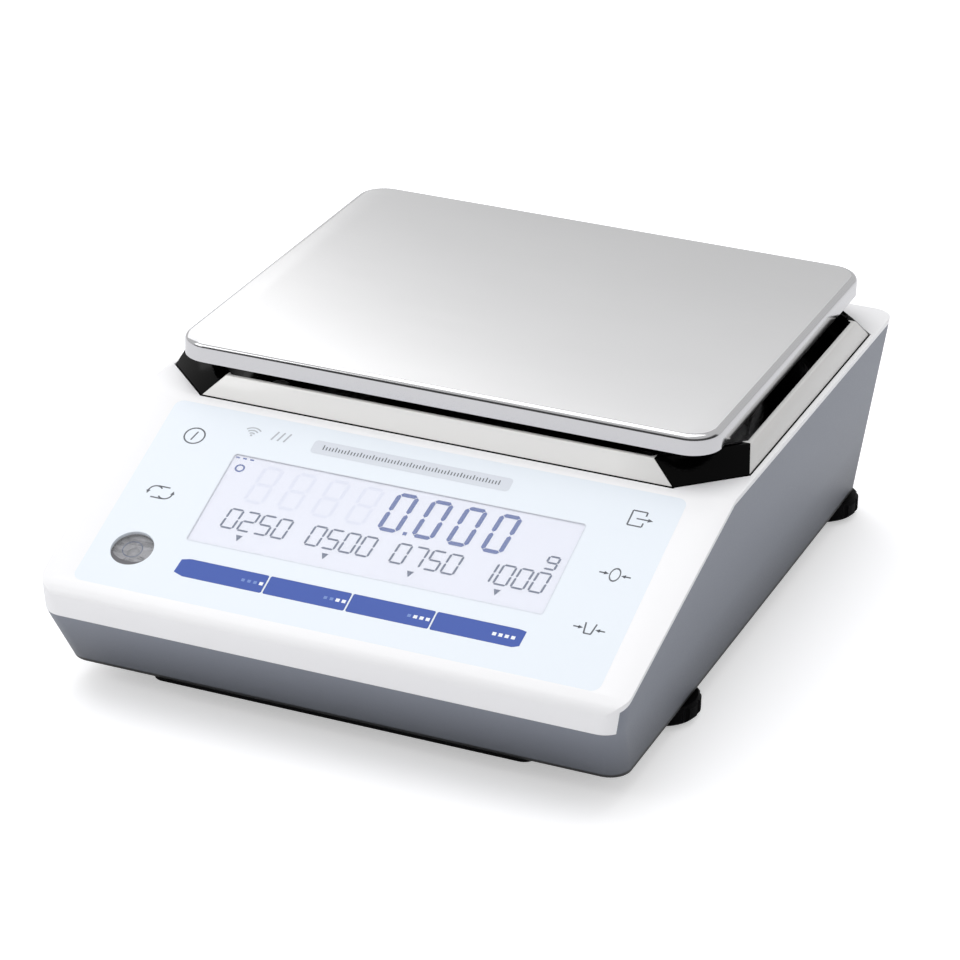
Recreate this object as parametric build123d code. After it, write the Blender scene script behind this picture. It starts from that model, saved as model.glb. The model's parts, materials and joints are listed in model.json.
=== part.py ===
from build123d import *
import math
import os

os.makedirs("parts", exist_ok=True)

# A table-top laboratory balance, in millimetres. +Z is up and the front faces -Y.
# The origin is on the table, at the middle of the balance's width and depth.

# Body outline
BODY_WIDTH = 198.8
BODY_DEPTH = 241.0
RIM_HEIGHT = 71.6
SPLIT_HEIGHT = 29.7
UNDERSIDE = 8.6
SIDE_LEAN = 6.8
FRONT_UNDERCUT = 12.5
REAR_UNDERCUT = 5.0
CORNER_RADIUS = 7.0
LIP_RADIUS = 5.0
WALL = 2.5
PANEL_SLOPE = 22.58
COVER_EDGE = 2.0
LIP_WRAP = 2.6
SIDE_RIM = 2.0
REAR_RIM = 4.25
PANEL_RUN = 81.25

# Weighing pan and its well
PAN_HEIGHT = 88.0
PAN_CORNER = 10.0
PAN_SKIRT = 6.5
PAN_SHEET = 1.0
PAN_EDGE_RADIUS = 2.0
WELL_FRONT_GAP = 2.75
WELL_SIDE_GAP = 7.4
WELL_CHAMFER = 18.3
WELL_SEAM = 0.4
FLANGE_THICKNESS = 2.0
TUB_INSET = 2.4
TUB_WALL = 2.0
TUB_DEPTH = 3.6
POST_HOLE_RADIUS = 7.0
COLLAR_WALL = 2.0
COLLAR_HEIGHT = 4.0

# Bright rails round the well
RAIL_HEIGHT = 7.1
RAIL_INSET = 2.6
RAIL_THICKNESS = 1.6
RAIL_END_BEVEL = 7.2

# Pan carrier
CARRIER_TRAVEL = 0.8
HUB_RADIUS = 16.0
ARM_WIDTH = 13.0
ARM_THICKNESS = 6.0
ARM_END_INSET_X = 24.0
ARM_END_INSET_Y = 25.0
ARM_END_RADIUS = 9.0
CUSHION_RADIUS = 6.5
CUSHION_HEIGHT = 6.0
POST_RADIUS = 4.0
POST_RUNNING_GAP = 0.05
SHOULDER_RADIUS = 6.2
SHOULDER_GAP = 0.2
POST_BELOW_CELL = 2.0
POST_BORE = 12.0
SUPPORT_SCREW_GRIP = 8.0

# Weigh cell
CELL_WIDTH = 40.0
CELL_HEIGHT = 34.0
CELL_FIXED_LENGTH = 24.0
CELL_BEAM_LENGTH = 32.0
CELL_LOAD_LENGTH = 32.0
CELL_BEAM = 7.0
CELL_NOTCH_RADIUS = 2.4
CELL_TOP_GAP = 8.0
CELL_SPACER = 2.5
CELL_PLATE = 6.0
CELL_PLATE_MARGIN = 9.0
CELL_SCREW_SPREAD = 6.0
CELL_SCREW_GRIP = 8.0
CELL_SCREW_BORE = 10.0
CELL_PLATE_FRONT = 2.0
CELL_PLATE_REAR = 4.0
SPRING_WIRE = 0.8
SPRING_RADIUS = 6.2
SPRING_TURNS = 3.5
SPRING_POCKET_RADIUS = 7.6
SPRING_POCKET_DEPTH = 11.0
LEVER_THICKNESS = 4.0
LEVER_WIDTH = 12.0
LEVER_END_GAP = 6.0
FORK_START = 4.0
FORK_THICKNESS = 1.5
FORK_LENGTH = 16.0
FORK_SLOT = 2.0

# Control panel, measured down the slope from the well's front edge
OVERLAY_SIDE_MARGIN = 13.7
OVERLAY_TOP = 3.6
OVERLAY_BOTTOM = 81.8
OVERLAY_CORNER = 3.0
OVERLAY_THICKNESS = 1.2
WINDOW_X = 0.7
WINDOW_SIDE_MARGIN = 27.0
WINDOW_TOP = 20.7
WINDOW_BOTTOM = 58.3
WINDOW_CORNER = 1.2
WINDOW_LEDGE = 1.5
LCD_MARGIN = 3.0
LCD_THICKNESS = 2.8
BACKLIGHT_THICKNESS = 3.6
KEY_INSET_LEFT = 11.7
KEY_INSET_RIGHT = 11.3
KEY_WIDTH = 16.0
KEY_LENGTH = 11.5
KEY_CORNER = 1.5
KEY_GAP = 0.08
KEY_TRAVEL = 0.4
KEY_FLOOR_GAP = 0.1
KEY_STEM_RADIUS = 2.0
KEY_STEM_GAP = 0.4
POWER_KEY_DOWN = 17.2
MODE_KEY_DOWN = 42.4
OUTPUT_KEY_DOWN = 14.8
ZERO_KEY_DOWN = 37.8
TARE_KEY_DOWN = 59.7
SOFT_KEY_TOP = 65.1
SOFT_KEY_BOTTOM = 72.3
SOFT_KEY_X = 1.1
SOFT_KEY_INSET = 8.8
SOFT_KEY_RIB = 0.5
SOFT_KEY_CORNER = 0.6
SWITCH_SIZE = 5.0
SWITCH_HEIGHT = 3.4
SWITCH_AIR = 0.1
BOARD_THICKNESS = 1.6
DISPLAY_BOARD_SIDE_MARGIN = 6.7
DISPLAY_BOARD_TOP = 8.0
DISPLAY_BOARD_BOTTOM = 75.0
DISPLAY_SCREW_INSET = 12.5
DISPLAY_SCREW_DOWN = 3.5
DISPLAY_SCREW_LOW = 52.0
LEVEL_INSET = 13.1
LEVEL_DOWN = 65.7
LEVEL_RADIUS = 6.8
LEVEL_RECESS = 0.6
LEVEL_LENS = 1.6
LEVEL_CUP_WALL = 1.2
LEVEL_CUP_DEPTH = 5.0
BUBBLE_RADIUS = 2.1
BUBBLE_HEIGHT = 0.8

# Screws
SCREW_RADIUS = 1.5
SCREW_HEAD_RADIUS = 2.9
SCREW_HEAD_HEIGHT = 1.9
SCREW_HOLE_RADIUS = 1.7
SCREW_HEAD_GAP = 0.3
COVER_SCREW_GRIP = 8.0
TRAY_SCREW_GRIP = 10.0
TRAY_SCREW_BORE = 12.0
BOSS_RADIUS = 4.5
COVER_SCREW_INSET = 15.4
COVER_SCREW_SETBACK = 22.5
TRAY_SCREW_INSET_X = 35.4
TRAY_SCREW_INSET_Y = 21.75
BOARD_SCREW_LENGTH = 5.0

# Electronics on the housing floor
MAIN_BOARD_FOOT_GAP = 20.0
MAIN_BOARD_CELL_GAP = 13.0
MAIN_BOARD_SETBACK = 26.0
MAIN_BOARD_STAND = 6.0
BOARD_SCREW_INSET = 5.0
CHIP_HEIGHT = 2.0
CAPACITOR_RADIUS = 3.5
CAPACITOR_HEIGHT = 9.0
CAPACITOR_PITCH = 9.0
COIL_HEIGHT = 6.0
SOCKET_HEIGHT = 5.0
LEAD_START = 6.0
RIBBON_WIDTH = 22.0
RIBBON_THICKNESS = 0.8
LEAD_RADIUS = 1.6

# Rear sockets
PORT_X = -30.0
PORT_WIDTH = 70.0
PORT_BOTTOM = 24.0
PORT_HEIGHT = 22.0
PORT_RECESS = 5.0
PORT_PLATE = 2.0
PORT_LEDGE = 3.0
PORT_FRAME = 2.0
SERIAL_OFFSET = 14.0
SERIAL_WIDTH = 31.0
SERIAL_HEIGHT = 12.5
SERIAL_SHELL_WIDTH = 17.0
SERIAL_SHELL_HEIGHT = 8.4
SERIAL_REACH = 2.8
SERIAL_TAPER = 1.5
SERIAL_FLANGE = 1.0
SERIAL_BACK = 9.0
SERIAL_BACK_HALF = 5.0
PORT_CUT_GAP = 0.2
JACK_SCREW_SPACING = 25.0
JACK_SCREW_RADIUS = 2.2
JACK_SCREW_LENGTH = 3.0
SUPPLY_OFFSET = -22.0
SUPPLY_RADIUS = 4.6
SUPPLY_BORE = 2.75
SUPPLY_PIN = 1.0
SUPPLY_LENGTH = 13.0
SUPPLY_BACK = 3.0
SUPPLY_REACH = 1.0

# Underside
BASE_PLATE = 1.2
BASE_PLATE_FOOT_GAP = 19.0
BASE_PLATE_MARGIN = 4.0
HOOK_HOLE_RADIUS = 10.0
HOOK_COVER_THICKNESS = 1.4
HOOK_COVER_RADIUS = 13.0
HOOK_COVER_PIVOT = 22.0
HOOK_COVER_END = 5.0
HOOK_COVER_GAP = 0.1
HOOK_RING_RADIUS = 3.6
HOOK_WIRE_RADIUS = 1.3
HOOK_DROP = 3.0

# Levelling feet
FOOT_INSET = 17.4
FRONT_FOOT_SETBACK = 71.0
REAR_FOOT_SETBACK = 14.0
KNOB_RADIUS = 12.5
KNOB_BOTTOM = 1.6
KNOB_HEIGHT = 5.8
KNOB_FLUTES = 12
KNOB_FLUTE_RADIUS = 1.6
KNOB_EDGE = 1.0
KNOB_FLUTE_REACH = 0.96
STUD_RADIUS = 3.0
STUD_LENGTH = 13.0
STUD_RUNNING_GAP = 0.06
STUD_INSET = 3.0
STUD_END_GAP = 2.0
STUD_HOLE_GAP = 0.5
INSERT_RADIUS = 5.0
INSERT_LENGTH = 11.0
FOOT_BOSS_RADIUS = 7.5
FOOT_BOSS_ROOF = 6.0
PAD_RADIUS = 9.0
PAD_EDGE = 0.6

# Places worked out from the sizes above
FRONT = -BODY_DEPTH / 2
REAR = BODY_DEPTH / 2
SLOPE = math.radians(PANEL_SLOPE)
WELL_HALF = BODY_WIDTH / 2 - SIDE_RIM
WELL_DEPTH = BODY_DEPTH - PANEL_RUN - REAR_RIM
PAN_WIDTH = 2 * (WELL_HALF - WELL_SIDE_GAP)
PAN_DEPTH = WELL_DEPTH - 2 * WELL_FRONT_GAP
ARM_REACH_X = PAN_WIDTH / 2 - ARM_END_INSET_X
ARM_REACH_Y = PAN_DEPTH / 2 - ARM_END_INSET_Y
OVERLAY_WIDTH = BODY_WIDTH - 2 * OVERLAY_SIDE_MARGIN
WINDOW_WIDTH = OVERLAY_WIDTH - 2 * WINDOW_SIDE_MARGIN
KEY_COLUMN_LEFT = KEY_INSET_LEFT - OVERLAY_WIDTH / 2
KEY_COLUMN_RIGHT = OVERLAY_WIDTH / 2 - KEY_INSET_RIGHT
SOFT_KEY_SPAN = WINDOW_WIDTH - SOFT_KEY_INSET
DISPLAY_BOARD_WIDTH = OVERLAY_WIDTH - 2 * DISPLAY_BOARD_SIDE_MARGIN
LEVEL_X = LEVEL_INSET - OVERLAY_WIDTH / 2
FOOT_X = BODY_WIDTH / 2 - FOOT_INSET
BASE_PLATE_WIDTH = 2 * (FOOT_X - BASE_PLATE_FOOT_GAP)
COVER_SCREW_X = BODY_WIDTH / 2 - COVER_SCREW_INSET
TRAY_SCREW_X = WELL_HALF - TRAY_SCREW_INSET_X
TRAY_SCREW_Y = WELL_DEPTH / 2 - TRAY_SCREW_INSET_Y
WELL_REAR = REAR - REAR_RIM
WELL_FRONT = WELL_REAR - WELL_DEPTH
PAN_Y = (WELL_FRONT + WELL_REAR) / 2
FLANGE_BOTTOM = RIM_HEIGHT - FLANGE_THICKNESS
TUB_BOTTOM = FLANGE_BOTTOM - TUB_DEPTH
TUB_FLOOR = TUB_BOTTOM + TUB_WALL
FLOOR_TOP = UNDERSIDE + WALL
SUPPORT_TOP = PAN_HEIGHT - PAN_SHEET - CUSHION_HEIGHT
SUPPORT_BOTTOM = SUPPORT_TOP - ARM_THICKNESS
CELL_TOP = TUB_BOTTOM - CELL_TOP_GAP
CELL_BOTTOM = CELL_TOP - CELL_HEIGHT
CELL_REAR = PAN_Y + CELL_LOAD_LENGTH / 2
CELL_FRONT = CELL_REAR - CELL_LOAD_LENGTH - CELL_BEAM_LENGTH - CELL_FIXED_LENGTH
PLATE_TOP = CELL_BOTTOM - CELL_SPACER
PLATE_BOTTOM = PLATE_TOP - CELL_PLATE
SPRING_BOTTOM = CELL_TOP - SPRING_POCKET_DEPTH
SHOULDER_BOTTOM = CELL_TOP + CARRIER_TRAVEL + SHOULDER_GAP
LCD_DEPTH = WALL
DISPLAY_BOARD_DEPTH = LCD_DEPTH + LCD_THICKNESS + BACKLIGHT_THICKNESS
SWITCH_TOP_DEPTH = DISPLAY_BOARD_DEPTH - SWITCH_HEIGHT
STEM_END_DEPTH = SWITCH_TOP_DEPTH - SWITCH_AIR - KEY_TRAVEL
MAIN_BOARD_WIDTH = 2 * (FOOT_X - MAIN_BOARD_FOOT_GAP)
MAIN_BOARD_FRONT = FRONT + MAIN_BOARD_SETBACK
MAIN_BOARD_DEPTH = CELL_FRONT - MAIN_BOARD_CELL_GAP - MAIN_BOARD_FRONT
MAIN_BOARD_TOP = FLOOR_TOP + MAIN_BOARD_STAND + BOARD_THICKNESS
BASE_BOTTOM = UNDERSIDE - BASE_PLATE
FEET = {
    "front_left": (-FOOT_X, FRONT + FRONT_FOOT_SETBACK),
    "front_right": (FOOT_X, FRONT + FRONT_FOOT_SETBACK),
    "rear_left": (-FOOT_X, REAR - REAR_FOOT_SETBACK),
    "rear_right": (FOOT_X, REAR - REAR_FOOT_SETBACK),
}
KEYS = {
    "power_key": (KEY_COLUMN_LEFT, POWER_KEY_DOWN),
    "mode_key": (KEY_COLUMN_LEFT, MODE_KEY_DOWN),
    "output_key": (KEY_COLUMN_RIGHT, OUTPUT_KEY_DOWN),
    "zero_key": (KEY_COLUMN_RIGHT, ZERO_KEY_DOWN),
    "tare_key": (KEY_COLUMN_RIGHT, TARE_KEY_DOWN),
}
SOFT_KEY_PITCH = (SOFT_KEY_SPAN + SOFT_KEY_RIB) / 4
SOFT_KEY_WIDTH = SOFT_KEY_PITCH - SOFT_KEY_RIB
SOFT_KEY_LENGTH = SOFT_KEY_BOTTOM - SOFT_KEY_TOP
SOFT_KEYS = {
    "soft_key_%d" % (n + 1): (SOFT_KEY_X + (n - 1.5) * SOFT_KEY_PITCH, (SOFT_KEY_TOP + SOFT_KEY_BOTTOM) / 2)
    for n in range(4)
}
COVER_SCREWS = [(x, FRONT + COVER_SCREW_SETBACK) for x in (-COVER_SCREW_X, COVER_SCREW_X)]
TRAY_SCREWS = [(x, PAN_Y + y) for x in (-TRAY_SCREW_X, TRAY_SCREW_X) for y in (-TRAY_SCREW_Y, TRAY_SCREW_Y)]


# General helpers

def block(x0, x1, y0, y1, z0, z1):
    return Pos((x0 + x1) / 2, (y0 + y1) / 2, (z0 + z1) / 2) * Box(x1 - x0, y1 - y0, z1 - z0)


def rod(x, y, z0, z1, radius):
    return Pos(x, y, (z0 + z1) / 2) * Cylinder(radius, z1 - z0)


def save(name, shape):
    solids = shape.solids()
    export_step(solids[0] if len(solids) == 1 else Compound(solids), "parts/%s.step" % name)


def group(shapes):
    return Compound([s for shape in shapes for s in shape.solids()])


# Body shape, shared by the two housings

def half_width(z):
    return BODY_WIDTH / 2 - math.tan(math.radians(SIDE_LEAN)) * (RIM_HEIGHT - z)


def front_at(z):
    if z >= SPLIT_HEIGHT:
        return FRONT
    return FRONT + FRONT_UNDERCUT * (SPLIT_HEIGHT - z) / (SPLIT_HEIGHT - UNDERSIDE)


def rear_at(z):
    return REAR - REAR_UNDERCUT * (RIM_HEIGHT - z) / (RIM_HEIGHT - UNDERSIDE)


def outline(z, inset):
    width = 2 * (half_width(z) - inset)
    y0 = front_at(z) + inset
    y1 = rear_at(z) - inset
    return Pos(0, (y0 + y1) / 2, z) * RectangleRounded(width, y1 - y0, CORNER_RADIUS - inset)


def sides(inset, bottom):
    levels = [bottom, SPLIT_HEIGHT, RIM_HEIGHT]
    lower = loft([outline(z, inset) for z in levels[:2]], ruled=True)
    return lower + loft([outline(z, inset) for z in levels[1:]], ruled=True)


def panel_height(y, below):
    return RIM_HEIGHT + math.tan(SLOPE) * (y - WELL_FRONT) - below


def under_roof(inset):
    below = inset / math.cos(SLOPE)
    bend = WELL_FRONT + (below - inset) / math.tan(SLOPE)
    front = FRONT + inset
    points = [(front, 0), (front, panel_height(front, below)), (bend, RIM_HEIGHT - inset)]
    points += [(REAR + WALL, RIM_HEIGHT - inset), (REAR + WALL, 0)]
    face = Polygon(*points, align=None)
    lip = face.vertices().sort_by_distance((front, points[1][1], 0))[0]
    face = fillet(lip, LIP_RADIUS - inset)
    return extrude(Plane.YZ * face, amount=BODY_WIDTH, both=True)


def body(inset):
    return sides(inset, UNDERSIDE + inset) & under_roof(inset)


def cover_region(edge):
    front = FRONT - WALL
    wrap = FRONT + LIP_WRAP
    top = RIM_HEIGHT + WALL
    points = [(front, SPLIT_HEIGHT), (wrap, SPLIT_HEIGHT), (wrap, panel_height(wrap, edge))]
    points += [(WELL_FRONT, RIM_HEIGHT - edge), (REAR + WALL, RIM_HEIGHT - edge)]
    points += [(REAR + WALL, top), (front, top)]
    return extrude(Plane.YZ * Polygon(*points, align=None), amount=BODY_WIDTH, both=True)


def cover_share():
    inner = sides(WALL, UNDERSIDE + WALL) & cover_region(COVER_EDGE + 2 * WALL)
    return cover_region(COVER_EDGE) + inner


def octagon(half, y0, y1, chamfer):
    right = [(half - chamfer, y0), (half, y0 + chamfer), (half, y1 - chamfer), (half - chamfer, y1)]
    left = [(-x, y) for x, y in reversed(right)]
    return Polygon(*right, *left, align=None)


def well(inset, z0, z1):
    face = octagon(WELL_HALF - inset, WELL_FRONT + inset, WELL_REAR - inset, WELL_CHAMFER)
    return Pos(0, 0, z0) * extrude(face, amount=z1 - z0)


# Places on the sloping panel

PANEL_NORMAL = (0, -math.sin(SLOPE), math.cos(SLOPE))
PANEL = Plane(origin=(0, WELL_FRONT, RIM_HEIGHT), x_dir=(1, 0, 0), z_dir=PANEL_NORMAL)


def on_panel(x, down, depth=0.0):
    return PANEL.location * Pos(x, -down, -depth)


def panel_prism(x, down, width, length, corner, depth0, depth1):
    face = RectangleRounded(width, length, corner) if corner else Rectangle(width, length)
    return on_panel(x, down, depth1) * extrude(face, amount=depth1 - depth0)


def panel_rod(x, down, radius, depth0, depth1):
    return on_panel(x, down, (depth0 + depth1) / 2) * Cylinder(radius, depth1 - depth0)


def window_place(margin, depth0, depth1, corner=0.0):
    down = (WINDOW_TOP + WINDOW_BOTTOM) / 2
    length = WINDOW_BOTTOM - WINDOW_TOP + 2 * margin
    return panel_prism(WINDOW_X, down, WINDOW_WIDTH + 2 * margin, length, corner, depth0, depth1)


# Housings

def upper_housing():
    cover = (body(0) - body(WALL)) & cover_share()
    for x, y in COVER_SCREWS:
        boss = rod(x, y, SPLIT_HEIGHT, RIM_HEIGHT, BOSS_RADIUS) & body(WALL)
        cover += boss
        cover -= rod(x, y, 0, panel_height(y, 2 * WALL), SCREW_RADIUS)
    cover -= well(-WELL_SEAM, FLANGE_BOTTOM - 2 * WALL, RIM_HEIGHT + WALL)
    middle = (OVERLAY_TOP + OVERLAY_BOTTOM) / 2
    length = OVERLAY_BOTTOM - OVERLAY_TOP
    cover -= panel_prism(0, middle, OVERLAY_WIDTH, length, OVERLAY_CORNER, -WALL, OVERLAY_THICKNESS)
    cover -= window_place(-WINDOW_LEDGE, 0, 2 * WALL)
    cover -= panel_rod(LEVEL_X, LEVEL_DOWN, LEVEL_RADIUS + LEVEL_CUP_WALL, 0, 3 * WALL)
    pocket = OVERLAY_THICKNESS + KEY_TRAVEL + KEY_FLOOR_GAP
    for x, down in KEYS.values():
        cover -= panel_prism(x, down, KEY_WIDTH, KEY_LENGTH, 0, 0, pocket)
        cover -= panel_rod(x, down, KEY_STEM_RADIUS + KEY_STEM_GAP, 0, 2 * WALL)
    for x, down in SOFT_KEYS.values():
        cover -= panel_prism(x, down, SOFT_KEY_WIDTH, SOFT_KEY_LENGTH, 0, 0, pocket)
        cover -= panel_rod(x, down, KEY_STEM_RADIUS + KEY_STEM_GAP, 0, 2 * WALL)
    for x, down in display_screw_places():
        post = panel_rod(x, down, BOSS_RADIUS - 1, WALL, DISPLAY_BOARD_DEPTH)
        cover += post - panel_rod(x, down, SCREW_RADIUS, WALL, DISPLAY_BOARD_DEPTH)
    return cover


def port_frame():
    x0 = PORT_X - PORT_WIDTH / 2
    x1 = PORT_X + PORT_WIDTH / 2
    z0 = PORT_BOTTOM
    z1 = PORT_BOTTOM + PORT_HEIGHT
    back = port_back()
    edge = PORT_FRAME
    outer = block(x0 - edge, x1 + edge, back - edge, REAR, z0 - edge, z1 + edge)
    recess = block(x0, x1, back, REAR + WALL, z0, z1)
    step = PORT_LEDGE
    ledge = block(x0 + step, x1 - step, back - WALL - edge, REAR, z0 + step, z1 - step)
    return outer & body(0), recess + ledge


def port_back():
    return rear_at(PORT_BOTTOM) - PORT_RECESS - PORT_PLATE


def lower_housing():
    tub = (body(0) - body(WALL)) - cover_share()
    frame, recess = port_frame()
    tub = tub + frame - recess
    bosses = [rod(x, y, UNDERSIDE, SPLIT_HEIGHT, BOSS_RADIUS) for x, y in COVER_SCREWS]
    bosses += [rod(x, y, UNDERSIDE, TUB_BOTTOM, BOSS_RADIUS) for x, y in TRAY_SCREWS]
    foot_boss_top = UNDERSIDE + INSERT_LENGTH + FOOT_BOSS_ROOF
    bosses += [rod(x, y, UNDERSIDE, foot_boss_top, FOOT_BOSS_RADIUS) for x, y in FEET.values()]
    stand_top = FLOOR_TOP + MAIN_BOARD_STAND
    bosses += [rod(x, y, UNDERSIDE, stand_top, BOSS_RADIUS - 1) for x, y in board_screw_places()]
    bosses += [rod(x, y, UNDERSIDE, PLATE_BOTTOM, BOSS_RADIUS) for x, y in plate_screw_places()]
    keep = body(0)
    for boss in bosses:
        tub += boss & keep
    for x, y in COVER_SCREWS:
        tub -= rod(x, y, 0, SPLIT_HEIGHT + WALL, SCREW_HOLE_RADIUS)
        tub -= rod(x, y, 0, UNDERSIDE + SCREW_HEAD_HEIGHT, SCREW_HEAD_RADIUS + SCREW_HEAD_GAP)
    for x, y in TRAY_SCREWS:
        tub -= rod(x, y, TUB_BOTTOM - TRAY_SCREW_BORE, TUB_BOTTOM + WALL, SCREW_RADIUS)
    for x, y in board_screw_places():
        tub -= rod(x, y, FLOOR_TOP + 0.5, FLOOR_TOP + MAIN_BOARD_STAND + WALL, SCREW_RADIUS)
    for x, y in plate_screw_places():
        tub -= rod(x, y, 0, PLATE_BOTTOM + WALL, SCREW_HOLE_RADIUS)
        tub -= rod(x, y, 0, UNDERSIDE + SCREW_HEAD_HEIGHT, SCREW_HEAD_RADIUS + SCREW_HEAD_GAP)
    for x, y in FEET.values():
        tub -= rod(x, y, 0, UNDERSIDE + INSERT_LENGTH, INSERT_RADIUS)
        tub -= rod(x, y, 0, UNDERSIDE + STUD_LENGTH + STUD_END_GAP, STUD_RADIUS + STUD_HOLE_GAP)
    tub -= rod(0, PAN_Y, 0, FLOOR_TOP + WALL, HOOK_HOLE_RADIUS)
    return tub


def base_plate():
    y0 = front_at(UNDERSIDE)
    y1 = rear_at(UNDERSIDE) - BASE_PLATE_MARGIN
    face = Pos(0, (y0 + y1) / 2) * RectangleRounded(BASE_PLATE_WIDTH, y1 - y0, BASE_PLATE_MARGIN)
    plate = Pos(0, 0, BASE_BOTTOM) * extrude(face, amount=BASE_PLATE)
    for x, y in plate_screw_places():
        plate -= rod(x, y, 0, UNDERSIDE + 1, SCREW_HEAD_RADIUS + SCREW_HEAD_GAP)
    plate -= rod(0, PAN_Y, 0, UNDERSIDE + 1, HOOK_HOLE_RADIUS)
    return plate - rod(0, PAN_Y + HOOK_COVER_PIVOT, 0, UNDERSIDE + 1, SCREW_RADIUS)


# Well tray and rails

def ring(thickness):
    top_chamfer = WELL_CHAMFER + RAIL_END_BEVEL - RAIL_INSET

    def cone(inset):
        low = octagon(WELL_HALF - inset, WELL_FRONT + inset, WELL_REAR - inset, WELL_CHAMFER)
        top_inset = RAIL_INSET + inset
        high = octagon(WELL_HALF - top_inset, WELL_FRONT + top_inset, WELL_REAR - top_inset, top_chamfer)
        return loft([Pos(0, 0, RIM_HEIGHT) * low, Pos(0, 0, RIM_HEIGHT + RAIL_HEIGHT) * high], ruled=True)

    return cone(0) - cone(thickness)


def rail_cut_x():
    low = WELL_HALF - WELL_CHAMFER
    high = low - RAIL_END_BEVEL
    top = RIM_HEIGHT + RAIL_HEIGHT
    points = [(-low, RIM_HEIGHT), (low, RIM_HEIGHT), (high, top), (-high, top)]
    return extrude(Plane.XZ * Polygon(*points, align=None), amount=BODY_DEPTH, both=True)


def rail_cut_y():
    low = WELL_CHAMFER
    high = low + RAIL_END_BEVEL
    top = RIM_HEIGHT + RAIL_HEIGHT
    points = [(WELL_FRONT + low, RIM_HEIGHT), (WELL_REAR - low, RIM_HEIGHT)]
    points += [(WELL_REAR - high, top), (WELL_FRONT + high, top)]
    return extrude(Plane.YZ * Polygon(*points, align=None), amount=BODY_WIDTH, both=True)


def rails():
    frame = ring(RAIL_THICKNESS)
    near = 2 * RAIL_INSET + RAIL_THICKNESS
    across = frame & rail_cut_x()
    along = frame & rail_cut_y()
    top = RIM_HEIGHT + RAIL_HEIGHT
    half = WELL_HALF + 1
    return {
        "front_rail": across & block(-half, half, WELL_FRONT - 1, WELL_FRONT + near, RIM_HEIGHT, top),
        "rear_rail": across & block(-half, half, WELL_REAR - near, WELL_REAR + 1, RIM_HEIGHT, top),
        "left_rail": along & block(-half, -half + near + 1, WELL_FRONT, WELL_REAR, RIM_HEIGHT, top),
        "right_rail": along & block(half - near - 1, half, WELL_FRONT, WELL_REAR, RIM_HEIGHT, top),
    }


def well_tray():
    tray = well(0, FLANGE_BOTTOM, RIM_HEIGHT) + well(TUB_INSET, TUB_BOTTOM, FLANGE_BOTTOM)
    tray -= well(TUB_INSET + TUB_WALL, TUB_FLOOR, RIM_HEIGHT + 1)
    tray += rod(0, PAN_Y, TUB_BOTTOM, TUB_FLOOR + COLLAR_HEIGHT, POST_HOLE_RADIUS + COLLAR_WALL)
    tray -= rod(0, PAN_Y, 0, PAN_HEIGHT, POST_HOLE_RADIUS)
    tray += ring(RAIL_THICKNESS) - rail_cut_x() - rail_cut_y()
    for x, y in TRAY_SCREWS:
        tray -= rod(x, y, 0, PAN_HEIGHT, SCREW_HOLE_RADIUS)
    return tray


def screw(x, y, under_head, length, down=True):
    side = 1 if down else -1
    end = under_head - side * length
    head = under_head + side * SCREW_HEAD_HEIGHT
    shank = rod(x, y, min(end, under_head), max(end, under_head), SCREW_RADIUS)
    return shank + rod(x, y, min(head, under_head), max(head, under_head), SCREW_HEAD_RADIUS)


def housing_screws():
    under_head = UNDERSIDE + SCREW_HEAD_HEIGHT
    screws = [screw(x, y, TUB_FLOOR, TUB_WALL + TRAY_SCREW_GRIP) for x, y in TRAY_SCREWS]
    length = SPLIT_HEIGHT + COVER_SCREW_GRIP - under_head
    screws += [screw(x, y, under_head, length, down=False) for x, y in COVER_SCREWS]
    return group(screws)


# Weighing pan and its carrier

def weighing_pan():
    rim = RectangleRounded(PAN_WIDTH, PAN_DEPTH, PAN_CORNER)
    outer = Pos(0, PAN_Y, PAN_HEIGHT - PAN_SKIRT) * extrude(rim, amount=PAN_SKIRT)
    outer = fillet(outer.faces().sort_by(Axis.Z)[-1].edges(), PAN_EDGE_RADIUS)
    face = RectangleRounded(PAN_WIDTH - 2 * PAN_SHEET, PAN_DEPTH - 2 * PAN_SHEET, PAN_CORNER - PAN_SHEET)
    inner = Pos(0, PAN_Y, PAN_HEIGHT - PAN_SKIRT - PAN_SHEET) * extrude(face, amount=PAN_SKIRT)
    inner = fillet(inner.faces().sort_by(Axis.Z)[-1].edges(), PAN_EDGE_RADIUS - PAN_SHEET)
    return outer - inner


def arm_ends():
    return [(sx * ARM_REACH_X, PAN_Y + sy * ARM_REACH_Y) for sx in (-1, 1) for sy in (-1, 1)]


def pan_support():
    plate = rod(0, PAN_Y, SUPPORT_BOTTOM, SUPPORT_TOP, HUB_RADIUS)
    angle = math.degrees(math.atan2(ARM_REACH_Y, ARM_REACH_X))
    length = 2 * math.hypot(ARM_REACH_X, ARM_REACH_Y)
    for turn in (angle, -angle):
        arm = Box(length, ARM_WIDTH, ARM_THICKNESS)
        plate += Pos(0, PAN_Y, (SUPPORT_BOTTOM + SUPPORT_TOP) / 2) * Rot(0, 0, turn) * arm
    for x, y in arm_ends():
        plate += rod(x, y, SUPPORT_BOTTOM, SUPPORT_TOP, ARM_END_RADIUS)
    return plate - rod(0, PAN_Y, 0, PAN_HEIGHT, SCREW_HOLE_RADIUS)


def pan_cushions():
    return group(rod(x, y, SUPPORT_TOP, PAN_HEIGHT - PAN_SHEET, CUSHION_RADIUS) for x, y in arm_ends())


def pan_post():
    post = rod(0, PAN_Y, CELL_BOTTOM - POST_BELOW_CELL, SHOULDER_BOTTOM, POST_RADIUS - POST_RUNNING_GAP)
    post += rod(0, PAN_Y, SHOULDER_BOTTOM, SUPPORT_BOTTOM, SHOULDER_RADIUS)
    return post - rod(0, PAN_Y, SUPPORT_BOTTOM - POST_BORE, PAN_HEIGHT, SCREW_RADIUS)


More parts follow.
